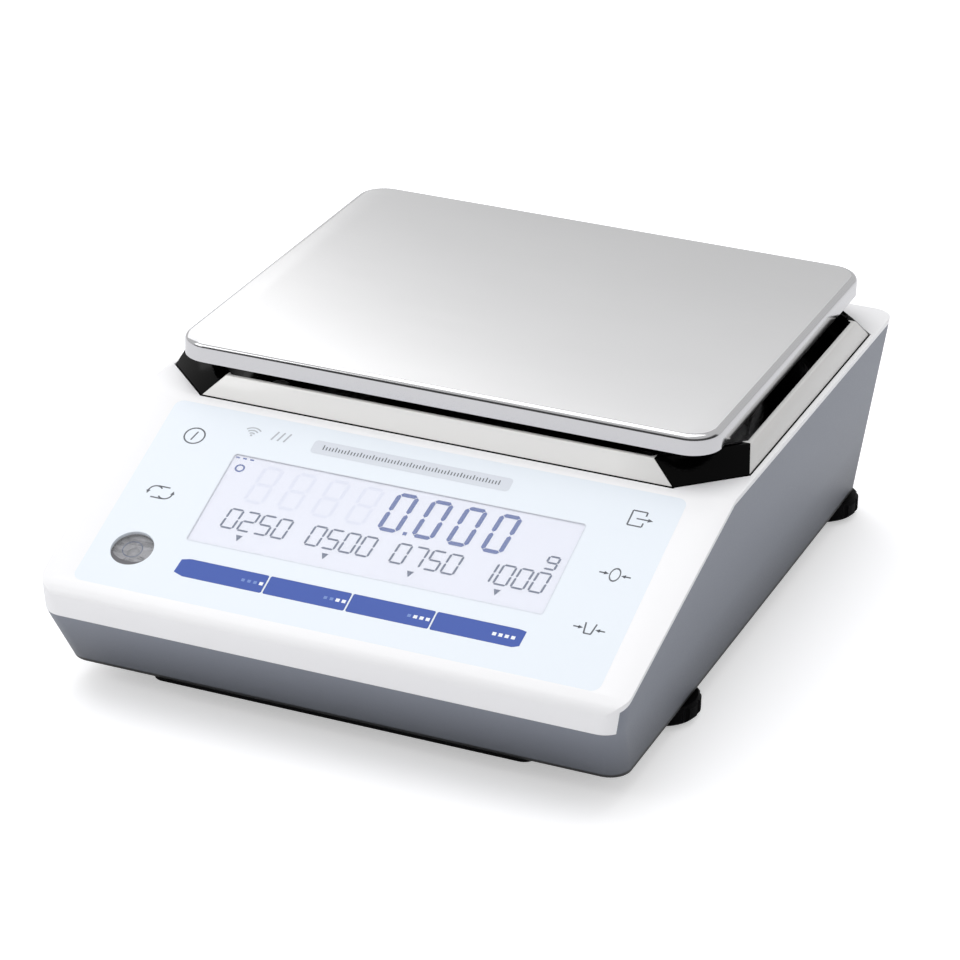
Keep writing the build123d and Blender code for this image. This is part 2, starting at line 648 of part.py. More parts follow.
def support_screw():
    return screw(0, PAN_Y, SUPPORT_TOP, ARM_THICKNESS + SUPPORT_SCREW_GRIP)


def weighing_hook():
    top = CELL_BOTTOM - POST_BELOW_CELL
    centre = top - HOOK_RING_RADIUS - HOOK_DROP
    ring_wire = Pos(0, PAN_Y, centre) * Rot(90, 0, 0) * Torus(HOOK_RING_RADIUS, HOOK_WIRE_RADIUS)
    return ring_wire + rod(0, PAN_Y, centre + HOOK_RING_RADIUS, top, HOOK_WIRE_RADIUS)


# Weigh cell

def weigh_cell():
    half = CELL_WIDTH / 2
    cell = block(-half, half, CELL_FRONT, CELL_REAR, CELL_BOTTOM, CELL_TOP)
    y0 = CELL_FRONT + CELL_FIXED_LENGTH
    y1 = y0 + CELL_BEAM_LENGTH
    cell -= block(-half, half, y0, y1, CELL_BOTTOM + CELL_BEAM, CELL_TOP - CELL_BEAM)
    for y in (y0 + CELL_NOTCH_RADIUS, y1 - CELL_NOTCH_RADIUS):
        for z in (CELL_BOTTOM + CELL_BEAM, CELL_TOP - CELL_BEAM):
            cell -= Pos(0, y, z) * Rot(0, 90, 0) * Cylinder(CELL_NOTCH_RADIUS, CELL_WIDTH)
    cell -= rod(0, PAN_Y, 0, PAN_HEIGHT, POST_RADIUS)
    cell -= rod(0, PAN_Y, SPRING_BOTTOM, PAN_HEIGHT, SPRING_POCKET_RADIUS)
    for x, y in cell_screw_places():
        cell -= rod(x, y, 0, CELL_BOTTOM + CELL_SCREW_BORE, SCREW_RADIUS)
    return cell


def overload_spring():
    height = SHOULDER_BOTTOM - SPRING_BOTTOM - SPRING_WIRE
    path = Helix(height / SPRING_TURNS, height, SPRING_RADIUS)
    start = Plane(origin=path @ 0, z_dir=path % 0)
    coil = sweep(start * Circle(SPRING_WIRE / 2), path, is_frenet=True)
    return Pos(0, PAN_Y, SPRING_BOTTOM + SPRING_WIRE / 2) * coil


def cell_screw_places():
    y = CELL_FRONT + CELL_FIXED_LENGTH / 2
    spread = CELL_SCREW_SPREAD
    return [(x, y + dy) for x in (-CELL_WIDTH / 4, CELL_WIDTH / 4) for dy in (-spread, spread)]


def plate_screw_places():
    half = CELL_WIDTH / 2 + CELL_PLATE_MARGIN / 2
    rows = (CELL_FRONT + CELL_PLATE_MARGIN, CELL_REAR - CELL_PLATE_MARGIN)
    return [(x, y) for x in (-half, half) for y in rows]


def cell_plate():
    half = CELL_WIDTH / 2 + CELL_PLATE_MARGIN
    y0 = CELL_FRONT - CELL_PLATE_FRONT
    plate = block(-half, half, y0, CELL_REAR + CELL_PLATE_REAR, PLATE_BOTTOM, PLATE_TOP)
    seat = CELL_WIDTH / 2
    plate += block(-seat, seat, CELL_FRONT, CELL_FRONT + CELL_FIXED_LENGTH, PLATE_TOP, CELL_BOTTOM)
    plate -= rod(0, PAN_Y, 0, CELL_TOP, HOOK_HOLE_RADIUS)
    for x, y in plate_screw_places():
        plate -= rod(x, y, 0, CELL_TOP, SCREW_RADIUS)
    for x, y in cell_screw_places():
        plate -= rod(x, y, 0, CELL_TOP, SCREW_HOLE_RADIUS)
        plate -= rod(x, y, 0, PLATE_BOTTOM + SCREW_HEAD_HEIGHT, SCREW_HEAD_RADIUS + SCREW_HEAD_GAP)
    return plate


def cell_screws():
    under_cell = PLATE_BOTTOM + SCREW_HEAD_HEIGHT
    under_plate = UNDERSIDE + SCREW_HEAD_HEIGHT
    into_cell = CELL_BOTTOM + CELL_SCREW_GRIP - under_cell
    into_plate = PLATE_TOP - 1 - under_plate
    screws = [screw(x, y, under_cell, into_cell, down=False) for x, y in cell_screw_places()]
    screws += [screw(x, y, under_plate, into_plate, down=False) for x, y in plate_screw_places()]
    return group(screws)


def sensor_lever():
    y0 = CELL_FRONT + CELL_FIXED_LENGTH
    middle = (CELL_BOTTOM + CELL_TOP) / 2
    half = LEVER_WIDTH / 2
    y1 = y0 + CELL_BEAM_LENGTH - LEVER_END_GAP
    return block(-half, half, y0, y1, middle - LEVER_THICKNESS, middle)


def fork_sensor():
    y0 = CELL_FRONT + CELL_FIXED_LENGTH + FORK_START
    middle = (CELL_BOTTOM + CELL_TOP) / 2
    half = LEVER_WIDTH / 2 - 1
    y1 = y0 + FORK_LENGTH
    slot = FORK_SLOT / 2
    top = middle + FORK_THICKNESS
    return block(-half, half, y0, y1, middle, top) - block(-slot, slot, y0 + 4, y1, middle, top)


# Control panel

def panel_overlay():
    middle = (OVERLAY_TOP + OVERLAY_BOTTOM) / 2
    length = OVERLAY_BOTTOM - OVERLAY_TOP
    through = 2 * OVERLAY_THICKNESS
    sheet = panel_prism(0, middle, OVERLAY_WIDTH, length, OVERLAY_CORNER, 0, OVERLAY_THICKNESS)
    sheet -= window_place(0, -1, through, WINDOW_CORNER)
    for x, down in KEYS.values():
        sheet -= panel_prism(x, down, KEY_WIDTH, KEY_LENGTH, KEY_CORNER, -1, through)
    for x, down in SOFT_KEYS.values():
        sheet -= panel_prism(x, down, SOFT_KEY_WIDTH, SOFT_KEY_LENGTH, SOFT_KEY_CORNER, -1, through)
    return sheet - panel_rod(LEVEL_X, LEVEL_DOWN, LEVEL_RADIUS, -1, through)


def display_window():
    return window_place(0, 0, OVERLAY_THICKNESS, WINDOW_CORNER)


def display_glass():
    return window_place(LCD_MARGIN, LCD_DEPTH, LCD_DEPTH + LCD_THICKNESS)


def backlight():
    return window_place(LCD_MARGIN, LCD_DEPTH + LCD_THICKNESS, DISPLAY_BOARD_DEPTH)


def key(x, down, width, length, corner):
    gap = 2 * KEY_GAP
    cap = panel_prism(x, down, width - gap, length - gap, corner - KEY_GAP, 0, OVERLAY_THICKNESS)
    return cap + panel_rod(x, down, KEY_STEM_RADIUS, OVERLAY_THICKNESS, STEM_END_DEPTH)


def all_keys():
    keys = {name: key(x, down, KEY_WIDTH, KEY_LENGTH, KEY_CORNER) for name, (x, down) in KEYS.items()}
    for name, (x, down) in SOFT_KEYS.items():
        keys[name] = key(x, down, SOFT_KEY_WIDTH, SOFT_KEY_LENGTH, SOFT_KEY_CORNER)
    return keys


def key_switches():
    places = list(KEYS.values()) + list(SOFT_KEYS.values())
    size = SWITCH_SIZE
    top = SWITCH_TOP_DEPTH
    foot = DISPLAY_BOARD_DEPTH
    return group(panel_prism(x, down, size, size, 0, top, foot) for x, down in places)


def display_screw_places():
    across = DISPLAY_BOARD_WIDTH / 2 - DISPLAY_SCREW_INSET
    rows = (DISPLAY_BOARD_TOP + DISPLAY_SCREW_DOWN, DISPLAY_SCREW_LOW)
    return [(x, down) for x in (-across, across) for down in rows]


def display_board():
    middle = (DISPLAY_BOARD_TOP + DISPLAY_BOARD_BOTTOM) / 2
    length = DISPLAY_BOARD_BOTTOM - DISPLAY_BOARD_TOP
    depth = DISPLAY_BOARD_DEPTH
    board = panel_prism(0, middle, DISPLAY_BOARD_WIDTH, length, 0, depth, depth + BOARD_THICKNESS)
    board -= panel_rod(LEVEL_X, LEVEL_DOWN, LEVEL_RADIUS + 2 * LEVEL_CUP_WALL, 0, 3 * depth)
    for x, down in display_screw_places():
        board -= panel_rod(x, down, SCREW_HOLE_RADIUS, 0, 3 * depth)
    return board


def board_screws():
    depth = DISPLAY_BOARD_DEPTH + BOARD_THICKNESS
    screws = [screw(x, y, MAIN_BOARD_TOP, BOARD_SCREW_LENGTH) for x, y in board_screw_places()]
    for x, down in display_screw_places():
        shank = panel_rod(x, down, SCREW_RADIUS, depth - BOARD_SCREW_LENGTH, depth)
        screws.append(shank + panel_rod(x, down, SCREW_HEAD_RADIUS, depth, depth + SCREW_HEAD_HEIGHT))
    return group(screws)


# Bubble level

def level_cup():
    outer = LEVEL_RADIUS + LEVEL_CUP_WALL
    bottom = LEVEL_RECESS + LEVEL_LENS + LEVEL_CUP_DEPTH
    cup = panel_rod(LEVEL_X, LEVEL_DOWN, outer, OVERLAY_THICKNESS, bottom)
    return cup - panel_rod(LEVEL_X, LEVEL_DOWN, LEVEL_RADIUS, 0, bottom - LEVEL_CUP_WALL)


def level_lens():
    return panel_rod(LEVEL_X, LEVEL_DOWN, LEVEL_RADIUS, LEVEL_RECESS, LEVEL_RECESS + LEVEL_LENS)


def level_vial():
    top = LEVEL_RECESS + LEVEL_LENS
    bottom = top + LEVEL_CUP_DEPTH - LEVEL_CUP_WALL
    vial = panel_rod(LEVEL_X, LEVEL_DOWN, LEVEL_RADIUS, top, bottom)
    return vial - panel_rod(LEVEL_X, LEVEL_DOWN, BUBBLE_RADIUS, top, top + BUBBLE_HEIGHT)


def level_bubble():
    top = LEVEL_RECESS + LEVEL_LENS
    return panel_rod(LEVEL_X, LEVEL_DOWN, BUBBLE_RADIUS, top, top + BUBBLE_HEIGHT)


# Electronics

def board_screw_places():
    inset = BOARD_SCREW_INSET
    half = MAIN_BOARD_WIDTH / 2 - inset
    rows = (MAIN_BOARD_FRONT + inset, MAIN_BOARD_FRONT + MAIN_BOARD_DEPTH - inset)
    return [(x, y) for x in (-half, half) for y in rows]


def main_board():
    half = MAIN_BOARD_WIDTH / 2
    rear = MAIN_BOARD_FRONT + MAIN_BOARD_DEPTH
    board = block(-half, half, MAIN_BOARD_FRONT, rear, MAIN_BOARD_TOP - BOARD_THICKNESS, MAIN_BOARD_TOP)
    for x, y in board_screw_places():
        board -= rod(x, y, 0, RIM_HEIGHT, SCREW_HOLE_RADIUS)
    return board


def board_components():
    top = MAIN_BOARD_TOP
    y0 = MAIN_BOARD_FRONT
    y1 = y0 + MAIN_BOARD_DEPTH
    edge = MAIN_BOARD_WIDTH / 2
    chip_top = top + CHIP_HEIGHT
    parts = [block(-10, 6, y0 + 14, y0 + 30, top, chip_top)]
    parts += [block(20, 34, y0 + 12, y0 + 22, top, chip_top)]
    for n in range(3):
        x = 22 - edge + CAPACITOR_PITCH * n
        parts += [rod(x, y0 + 12, top, top + CAPACITOR_HEIGHT, CAPACITOR_RADIUS)]
    parts += [block(32 - edge, 44 - edge, y1 - 22, y1 - 8, top, top + COIL_HEIGHT)]
    parts += [block(edge - 24, edge - 12, y1 - 18, y1 - 8, top, top + SOCKET_HEIGHT)]
    return group(parts)


def display_ribbon():
    low = MAIN_BOARD_TOP
    depth = DISPLAY_BOARD_DEPTH + BOARD_THICKNESS
    high = on_panel(0, WINDOW_BOTTOM, depth).position
    y = high.Y
    half = RIBBON_WIDTH / 2
    return block(-half, half, y, y + RIBBON_THICKNESS, low, high.Z)


def cell_lead():
    y0 = MAIN_BOARD_FRONT + MAIN_BOARD_DEPTH - LEAD_START
    z = CELL_BOTTOM + LEAD_RADIUS + 1
    riser = rod(0, y0, MAIN_BOARD_TOP, z, LEAD_RADIUS) + Pos(0, y0, z) * Sphere(LEAD_RADIUS)
    length = CELL_FRONT - y0
    return riser + Pos(0, y0 + length / 2, z) * Rot(90, 0, 0) * Cylinder(LEAD_RADIUS, length)


# Rear sockets

def port_centre():
    return PORT_BOTTOM + PORT_HEIGHT / 2


def port_plate():
    back = port_back()
    x0 = PORT_X - PORT_WIDTH / 2
    plate = block(x0, x0 + PORT_WIDTH, back, back + PORT_PLATE, PORT_BOTTOM, PORT_BOTTOM + PORT_HEIGHT)
    plate -= serial_shell(back - 1, back + PORT_PLATE + 1, PORT_CUT_GAP)
    x = PORT_X + SUPPLY_OFFSET
    hole = Rot(90, 0, 0) * Cylinder(SUPPLY_RADIUS + PORT_CUT_GAP, 4 * PORT_PLATE)
    return plate - Pos(x, back, port_centre()) * hole


def serial_shell(y0, y1, grow):
    x = PORT_X + SERIAL_OFFSET
    z = port_centre()
    half = SERIAL_SHELL_WIDTH / 2 + grow
    rise = SERIAL_SHELL_HEIGHT / 2 + grow
    low = half - SERIAL_TAPER
    points = [(x - low, z - rise), (x + low, z - rise), (x + half, z + rise), (x - half, z + rise)]
    return Pos(0, y1, 0) * extrude(Plane.XZ * Polygon(*points, align=None), amount=y1 - y0)


def serial_connector():
    back = port_back()
    x = PORT_X + SERIAL_OFFSET
    z = port_centre()
    half = SERIAL_WIDTH / 2
    rise = SERIAL_HEIGHT / 2
    flange_back = back - SERIAL_FLANGE
    flange = block(x - half, x + half, flange_back, back, z - rise, z + rise)
    half = SERIAL_SHELL_WIDTH / 2
    rise = SERIAL_BACK_HALF
    rear = block(x - half, x + half, back - SERIAL_BACK, flange_back, z - rise, z + rise)
    return flange + rear + serial_shell(back, back + PORT_PLATE + SERIAL_REACH, 0)


def jack_screws():
    y = port_back() + PORT_PLATE
    x = PORT_X + SERIAL_OFFSET
    half = JACK_SCREW_SPACING / 2
    post = Pos(0, y + JACK_SCREW_LENGTH / 2, port_centre()) * Rot(90, 0, 0)
    post = post * Cylinder(JACK_SCREW_RADIUS, JACK_SCREW_LENGTH)
    return group(Pos(x + side * half, 0, 0) * post for side in (-1, 1))


def supply_socket():
    front = port_back() + PORT_PLATE + SUPPLY_REACH
    x = PORT_X + SUPPLY_OFFSET
    z = port_centre()
    turn = Rot(90, 0, 0)
    socket = Pos(x, front - SUPPLY_LENGTH / 2, z) * turn * Cylinder(SUPPLY_RADIUS, SUPPLY_LENGTH)
    bore = SUPPLY_LENGTH - SUPPLY_BACK
    socket -= Pos(x, front - bore / 2, z) * turn * Cylinder(SUPPLY_BORE, bore)
    return socket + Pos(x, front - bore / 2 - 0.5, z) * turn * Cylinder(SUPPLY_PIN, bore - 1)


# Underside and feet

def hook_cover():
    top = BASE_BOTTOM - HOOK_COVER_GAP
    bottom = top - HOOK_COVER_THICKNESS
    pivot = PAN_Y + HOOK_COVER_PIVOT
    cover = rod(0, PAN_Y, bottom, top, HOOK_COVER_RADIUS) + rod(0, pivot, bottom, top, HOOK_COVER_END)
    cover += block(-HOOK_COVER_END, HOOK_COVER_END, PAN_Y, pivot, bottom, top)
    return cover - rod(0, pivot, 0, UNDERSIDE, SCREW_RADIUS + HOOK_COVER_GAP)


def hook_cover_screw():
    under_head = BASE_BOTTOM - 2 * HOOK_COVER_GAP - HOOK_COVER_THICKNESS
    length = UNDERSIDE - under_head
    return screw(0, PAN_Y + HOOK_COVER_PIVOT, under_head, length, down=False)


def foot_knob(x, y):
    knob = rod(x, y, KNOB_BOTTOM, KNOB_BOTTOM + KNOB_HEIGHT, KNOB_RADIUS)
    knob = chamfer(knob.edges(), KNOB_EDGE)
    for n in range(KNOB_FLUTES):
        angle = 2 * math.pi * n / KNOB_FLUTES
        reach = KNOB_RADIUS + KNOB_FLUTE_REACH
        flute_x = x + reach * math.cos(angle)
        flute_y = y + reach * math.sin(angle)
        knob -= rod(flute_x, flute_y, 0, UNDERSIDE, KNOB_FLUTE_RADIUS)
    return knob + rod(x, y, KNOB_BOTTOM, UNDERSIDE + STUD_LENGTH - STUD_INSET, STUD_RADIUS)


def foot_pad(x, y):
    pad = rod(x, y, 0, KNOB_BOTTOM, PAD_RADIUS)
    return fillet(pad.edges().sort_by(Axis.Z)[0], PAD_EDGE)


def foot_inserts():
    inserts = []
    for x, y in FEET.values():
        sleeve = rod(x, y, UNDERSIDE, UNDERSIDE + INSERT_LENGTH, INSERT_RADIUS)
        inserts.append(sleeve - rod(x, y, 0, RIM_HEIGHT, STUD_RADIUS + STUD_RUNNING_GAP))
    return group(inserts)


def main():
    save("upper_housing", upper_housing())
    save("lower_housing", lower_housing())
    save("base_plate", base_plate())
    save("well_tray", well_tray())
    for name, rail in rails().items():
        save(name, rail)
    save("housing_screws", housing_screws())
    save("weighing_pan", weighing_pan())
    save("pan_support", pan_support())
    save("pan_cushions", pan_cushions())
    save("pan_post", pan_post())
    save("support_screw", support_screw())
    save("weighing_hook", weighing_hook())
    save("weigh_cell", weigh_cell())
    save("overload_spring", overload_spring())
    save("cell_plate", cell_plate())
    save("cell_screws", cell_screws())
    save("sensor_lever", sensor_lever())
    save("fork_sensor", fork_sensor())
    save("panel_overlay", panel_overlay())
    save("display_window", display_window())
    save("display_glass", display_glass())
    save("backlight", backlight())
    for name, shape in all_keys().items():
        save(name, shape)
    save("key_switches", key_switches())
    save("display_board", display_board())
    save("level_cup", level_cup())
    save("level_lens", level_lens())
    save("level_vial", level_vial())
    save("level_bubble", level_bubble())
    save("main_board", main_board())
    save("board_screws", board_screws())
    save("board_components", board_components())
    save("display_ribbon", display_ribbon())
    save("cell_lead", cell_lead())
    save("port_plate", port_plate())
    save("serial_connector", serial_connector())
    save("jack_screws", jack_screws())
    save("supply_socket", supply_socket())
    save("hook_cover", hook_cover())
    save("hook_cover_screw", hook_cover_screw())
    for name, (x, y) in FEET.items():
        save("foot_knob_" + name, foot_knob(x, y))
        save("foot_pad_" + name, foot_pad(x, y))
    save("foot_inserts", foot_inserts())


main()
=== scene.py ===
# %% [markdown]
# # A laboratory balance, finished for the camera
# The construction of this balance was modelled first, at its real size, and is loaded here as a fixed frame.
# This lesson dresses that frame: it softens the moulded edges, prints the panel, and gives every piece its
# finish. All lengths are in metres, so a value in millimetres is multiplied by MM.

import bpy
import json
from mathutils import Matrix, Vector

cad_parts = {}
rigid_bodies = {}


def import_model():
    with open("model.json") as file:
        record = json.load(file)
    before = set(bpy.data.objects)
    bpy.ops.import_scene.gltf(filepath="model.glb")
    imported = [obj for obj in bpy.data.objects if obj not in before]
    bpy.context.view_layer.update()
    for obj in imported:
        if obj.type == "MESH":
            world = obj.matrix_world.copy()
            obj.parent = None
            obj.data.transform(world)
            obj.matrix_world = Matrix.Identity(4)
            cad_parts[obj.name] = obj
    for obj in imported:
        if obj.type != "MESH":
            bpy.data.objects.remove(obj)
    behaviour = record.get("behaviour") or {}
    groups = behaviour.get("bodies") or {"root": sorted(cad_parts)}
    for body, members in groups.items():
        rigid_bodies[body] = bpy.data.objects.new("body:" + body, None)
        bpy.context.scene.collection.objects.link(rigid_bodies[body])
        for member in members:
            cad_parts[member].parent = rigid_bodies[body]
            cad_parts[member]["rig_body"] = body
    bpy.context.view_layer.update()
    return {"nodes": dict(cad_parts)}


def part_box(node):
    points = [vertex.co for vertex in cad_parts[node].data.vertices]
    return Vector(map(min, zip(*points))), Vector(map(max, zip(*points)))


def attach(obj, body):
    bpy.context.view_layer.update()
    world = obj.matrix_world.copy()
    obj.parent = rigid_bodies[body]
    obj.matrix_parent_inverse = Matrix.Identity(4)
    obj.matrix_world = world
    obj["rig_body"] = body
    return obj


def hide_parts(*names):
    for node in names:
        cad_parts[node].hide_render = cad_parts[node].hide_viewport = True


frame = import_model()

# %% Modules and the unit
import json
import math

import bmesh
import bpy
from mathutils import Matrix, Vector

MM = 0.001
scene = bpy.context.scene
print("working in metres, one millimetre is", MM)

# %% [markdown]
# ## The camera
# A telephoto lens stands a little over a metre away, to the right and above, and is rolled by a little more
# than one degree. The camera comes first, because every piece is judged through it. Its axes are built from
# three angles, which keeps the numbers readable: the turn round the balance, the height above the table, and
# the roll.

# %% Camera
TURN, RISE, ROLL = (math.radians(v) for v in (22.3336, 25.4780, 1.2693))
CAMERA_PLACE = (0.426449, -1.037336, 0.575442)
FOCAL_LENGTH = 145.546
SENSOR_WIDTH = 36
VIEW_END = 30
camera_back = Vector((math.sin(TURN) * math.cos(RISE), -math.cos(TURN) * math.cos(RISE), math.sin(RISE)))
level_right = Vector((math.cos(TURN), math.sin(TURN), 0))
level_up = camera_back.cross(level_right)
camera_right = math.cos(ROLL) * level_right + math.sin(ROLL) * level_up
camera_up = -math.sin(ROLL) * level_right + math.cos(ROLL) * level_up

camera_data = bpy.data.cameras.new("camera")
camera_data.sensor_width = SENSOR_WIDTH
camera_data.lens = FOCAL_LENGTH
camera_data.clip_end = VIEW_END
camera = bpy.data.objects.new("camera", camera_data)
scene.collection.objects.link(camera)
axes = Matrix((camera_right, camera_up, camera_back)).transposed().to_4x4()
camera.matrix_world = Matrix.Translation(CAMERA_PLACE) @ axes
scene.camera = camera
scene.view_settings.view_transform = "Standard"
print("camera at", [round(v, 3) for v in camera.location], "lens", camera_data.lens)

# %% [markdown]
# ## Shared surface effects
# Real plastic and metal are never one flat value. Three effects are used by several finishes, so each is a
# node group that is built once: a fine moulded grain, the long scratches of brushed metal, and the faint
# cloudiness that handling leaves. A group only gives out values; the shader itself stays in each material.

# %% Helpers that build node groups
def start_group(name, inputs, outputs):
    group = bpy.data.node_groups.new(name, "ShaderNodeTree")
    for label, value in inputs:
        socket = group.interface.new_socket(label, in_out="INPUT", socket_type="NodeSocketFloat")
        socket.default_value = value
    for label in outputs:
        group.interface.new_socket(label, in_out="OUTPUT", socket_type="NodeSocketFloat")
    entry = group.nodes.new("NodeGroupInput")
    leave = group.nodes.new("NodeGroupOutput")
    return group, entry, leave


def arithmetic(tree, operation, a, b):
    node = tree.nodes.new("ShaderNodeMath")
    node.operation = operation
    for socket, value in zip(node.inputs, (a, b)):
        if isinstance(value, (int, float)):
            socket.default_value = value
        else:
            tree.links.new(value, socket)
    return node.outputs[0]


def uneven_roughness(group, entry, leave, noise):
    """Give out the group's roughness, moved up and down by the noise as far as the spread allows."""
    centred = arithmetic(group, "SUBTRACT", noise, 0.5)
    change = arithmetic(group, "MULTIPLY", centred, entry.outputs["Spread"])
    roughness = arithmetic(group, "ADD", entry.outputs["Roughness"], change)
    group.links.new(roughness, leave.inputs["Roughness"])


print("group helpers ready")

# %% Group: moulded grain
grain_inputs = [("Scale", 2500.0), ("Roughness", 0.4), ("Spread", 0.1)]
grain, entry, leave = start_group("moulded_grain", grain_inputs, ["Roughness", "Height"])
coords = grain.nodes.new("ShaderNodeTexCoord")
fine = grain.nodes.new("ShaderNodeTexNoise")
fine.inputs["Detail"].default_value = 3
grain.links.new(coords.outputs["Object"], fine.inputs["Vector"])
grain.links.new(entry.outputs["Scale"], fine.inputs["Scale"])
uneven_roughness(grain, entry, leave, fine.outputs["Fac"])
grain.links.new(fine.outputs["Fac"], leave.inputs["Height"])
print("group", grain.name)

# %% Group: brushed metal
brushed_inputs = [("Scale", 400.0), ("Roughness", 0.3), ("Spread", 0.12)]
brushed, entry, leave = start_group("brushed_lines", brushed_inputs, ["Roughness", "Height", "Shade"])
coords = brushed.nodes.new("ShaderNodeTexCoord")
stretch = brushed.nodes.new("ShaderNodeMapping")
stretch.inputs["Scale"].default_value = (0.03, 1, 1)
streak = brushed.nodes.new("ShaderNodeTexNoise")
streak.inputs["Detail"].default_value = 4
cloud = brushed.nodes.new("ShaderNodeTexNoise")
cloud.inputs["Scale"].default_value = 14
brushed.links.new(coords.outputs["Object"], stretch.inputs["Vector"])
brushed.links.new(stretch.outputs["Vector"], streak.inputs["Vector"])
brushed.links.new(entry.outputs["Scale"], streak.inputs["Scale"])
brushed.links.new(coords.outputs["Object"], cloud.inputs["Vector"])
uneven_roughness(brushed, entry, leave, streak.outputs["Fac"])
brushed.links.new(streak.outputs["Fac"], leave.inputs["Height"])
brushed.links.new(cloud.outputs["Fac"], leave.inputs["Shade"])
print("group", brushed.name)

# %% Group: handling
handling, entry, leave = start_group("handling", [("Scale", 30.0), ("Amount", 0.04)], ["Darken"])
coords = handling.nodes.new("ShaderNodeTexCoord")
blot = handling.nodes.new("ShaderNodeTexNoise")
blot.inputs["Detail"].default_value = 5
blot.inputs["Roughness"].default_value = 0.6
handling.links.new(coords.outputs["Object"], blot.inputs["Vector"])
handling.links.new(entry.outputs["Scale"], blot.inputs["Scale"])
darken = arithmetic(handling, "MULTIPLY", blot.outputs["Fac"], entry.outputs["Amount"])
handling.links.new(darken, leave.inputs["Darken"])
print("group", handling.name)

# %% [markdown]
# ## Finishes
# Two helpers make the opaque finishes, one for moulded pieces and one for metal. Each takes a colour, a
# roughness and how much grain it has. Colours are given as they look on a screen and turned to linear light
# here, so they can be compared with a photograph by eye.

# %% Colour and surface helpers
def screen_colour(r, g, b):
    def linear(v):
        v /= 255
        return v / 12.92 if v <= 0.04045 else ((v + 0.055) / 1.055) ** 2.4
    return (linear(r), linear(g), linear(b), 1.0)


def start_material(name):
    material = bpy.data.materials.new(name)
    material.use_nodes = True
    return material, material.node_tree, material.node_tree.nodes["Principled BSDF"]


def place_group(tree, group, **values):
    node = tree.nodes.new("ShaderNodeGroup")
    node.node_tree = group
    for label, value in values.items():
        node.inputs[label].default_value = value
    return node


def darkened_colour(tree, shader, colour, darkest, amount):
    """Colour the shader, and move towards a darker copy of the colour as the amount rises to 1."""
    tint = tree.nodes.new("ShaderNodeMix")
    tint.data_type = "RGBA"
    tint.inputs["A"].default_value = screen_colour(*colour)
    tint.inputs["B"].default_value = tuple(darkest * v for v in screen_colour(*colour)[:3]) + (1.0,)
    tree.links.new(amount, tint.inputs["Factor"])
    tree.links.new(tint.outputs["Result"], shader.inputs["Base Color"])


def bump(tree, shader, height, strength, distance):
    node = tree.nodes.new("ShaderNodeBump")
    node.inputs["Strength"].default_value = strength
    node.inputs["Distance"].default_value = distance
    tree.links.new(height, node.inputs["Height"])
    tree.links.new(node.outputs["Normal"], shader.inputs["Normal"])


print("surface helpers ready")

# %% Moulded finish and metal finish
SMUDGE_SCALE = 28.0
SMUDGE_DARKEST = 0.35
CLOUD_DARKEST = 0.94
GRAIN_STRENGTH = 0.35
BRUSH_STRENGTH = 0.4


def moulded(name, colour, roughness, scale=2500.0, spread=0.08, depth=0.006 * MM, smudge=0.03,
            coat=0.0, specular=0.5):
    material, tree, shader = start_material(name)
    surface = place_group(tree, grain, Scale=scale, Roughness=roughness, Spread=spread)
    touched = place_group(tree, handling, Scale=SMUDGE_SCALE, Amount=smudge)
    darkened_colour(tree, shader, colour, SMUDGE_DARKEST, touched.outputs["Darken"])
    tree.links.new(surface.outputs["Roughness"], shader.inputs["Roughness"])
    shader.inputs["Specular IOR Level"].default_value = specular
    shader.inputs["Coat Weight"].default_value = coat
    shader.inputs["Coat Roughness"].default_value = 0.06
    bump(tree, shader, surface.outputs["Height"], GRAIN_STRENGTH, depth)
    return material


def metal(name, colour, roughness, scale=400.0, spread=0.12, depth=0.002 * MM):
    material, tree, shader = start_material(name)
    surface = place_group(tree, brushed, Scale=scale, Roughness=roughness, Spread=spread)
    darkened_colour(tree, shader, colour, CLOUD_DARKEST, surface.outputs["Shade"])
    tree.links.new(surface.outputs["Roughness"], shader.inputs["Roughness"])
    shader.inputs["Metallic"].default_value = 1.0
    bump(tree, shader, surface.outputs["Height"], BRUSH_STRENGTH, depth)
    return material


print("moulded and metal ready")

# %% Shading along one axis
def paint_shade_along(material, axis, stops):
    """Multiply the colour by brightness stops, which paint light and shade along the axis.

    Each stop is a place along the axis in millimetres and the brightness there.
    """
    tree = material.node_tree
    shader = tree.nodes["Principled BSDF"]
    colour = shader.inputs["Base Color"].links[0].from_socket
    first, last = stops[0][0], stops[-1][0]
    coords = tree.nodes.new("ShaderNodeTexCoord")
    split = tree.nodes.new("ShaderNodeSeparateXYZ")
    tree.links.new(coords.outputs["Object"], split.inputs["Vector"])
    start = arithmetic(tree, "SUBTRACT", split.outputs[axis], first * MM)
    along = arithmetic(tree, "DIVIDE", start, (last - first) * MM)
    ramp = tree.nodes.new("ShaderNodeValToRGB")
    while len(ramp.color_ramp.elements) < len(stops):
        ramp.color_ramp.elements.new(0.5)
    for element, (where, level) in zip(ramp.color_ramp.elements, stops):
        element.position = (where - first) / (last - first)
        element.color = (level, level, level, 1)
    tree.links.new(along, ramp.inputs["Fac"])
    product = tree.nodes.new("ShaderNodeMix")
    product.data_type = "RGBA"
    product.blend_type = "MULTIPLY"
    product.inputs["Factor"].default_value = 1.0
    tree.links.new(colour, product.inputs["A"])
    tree.links.new(ramp.outputs["Color"], product.inputs["B"])
    tree.links.new(product.outputs["Result"], shader.inputs["Base Color"])


print("shading helper ready")
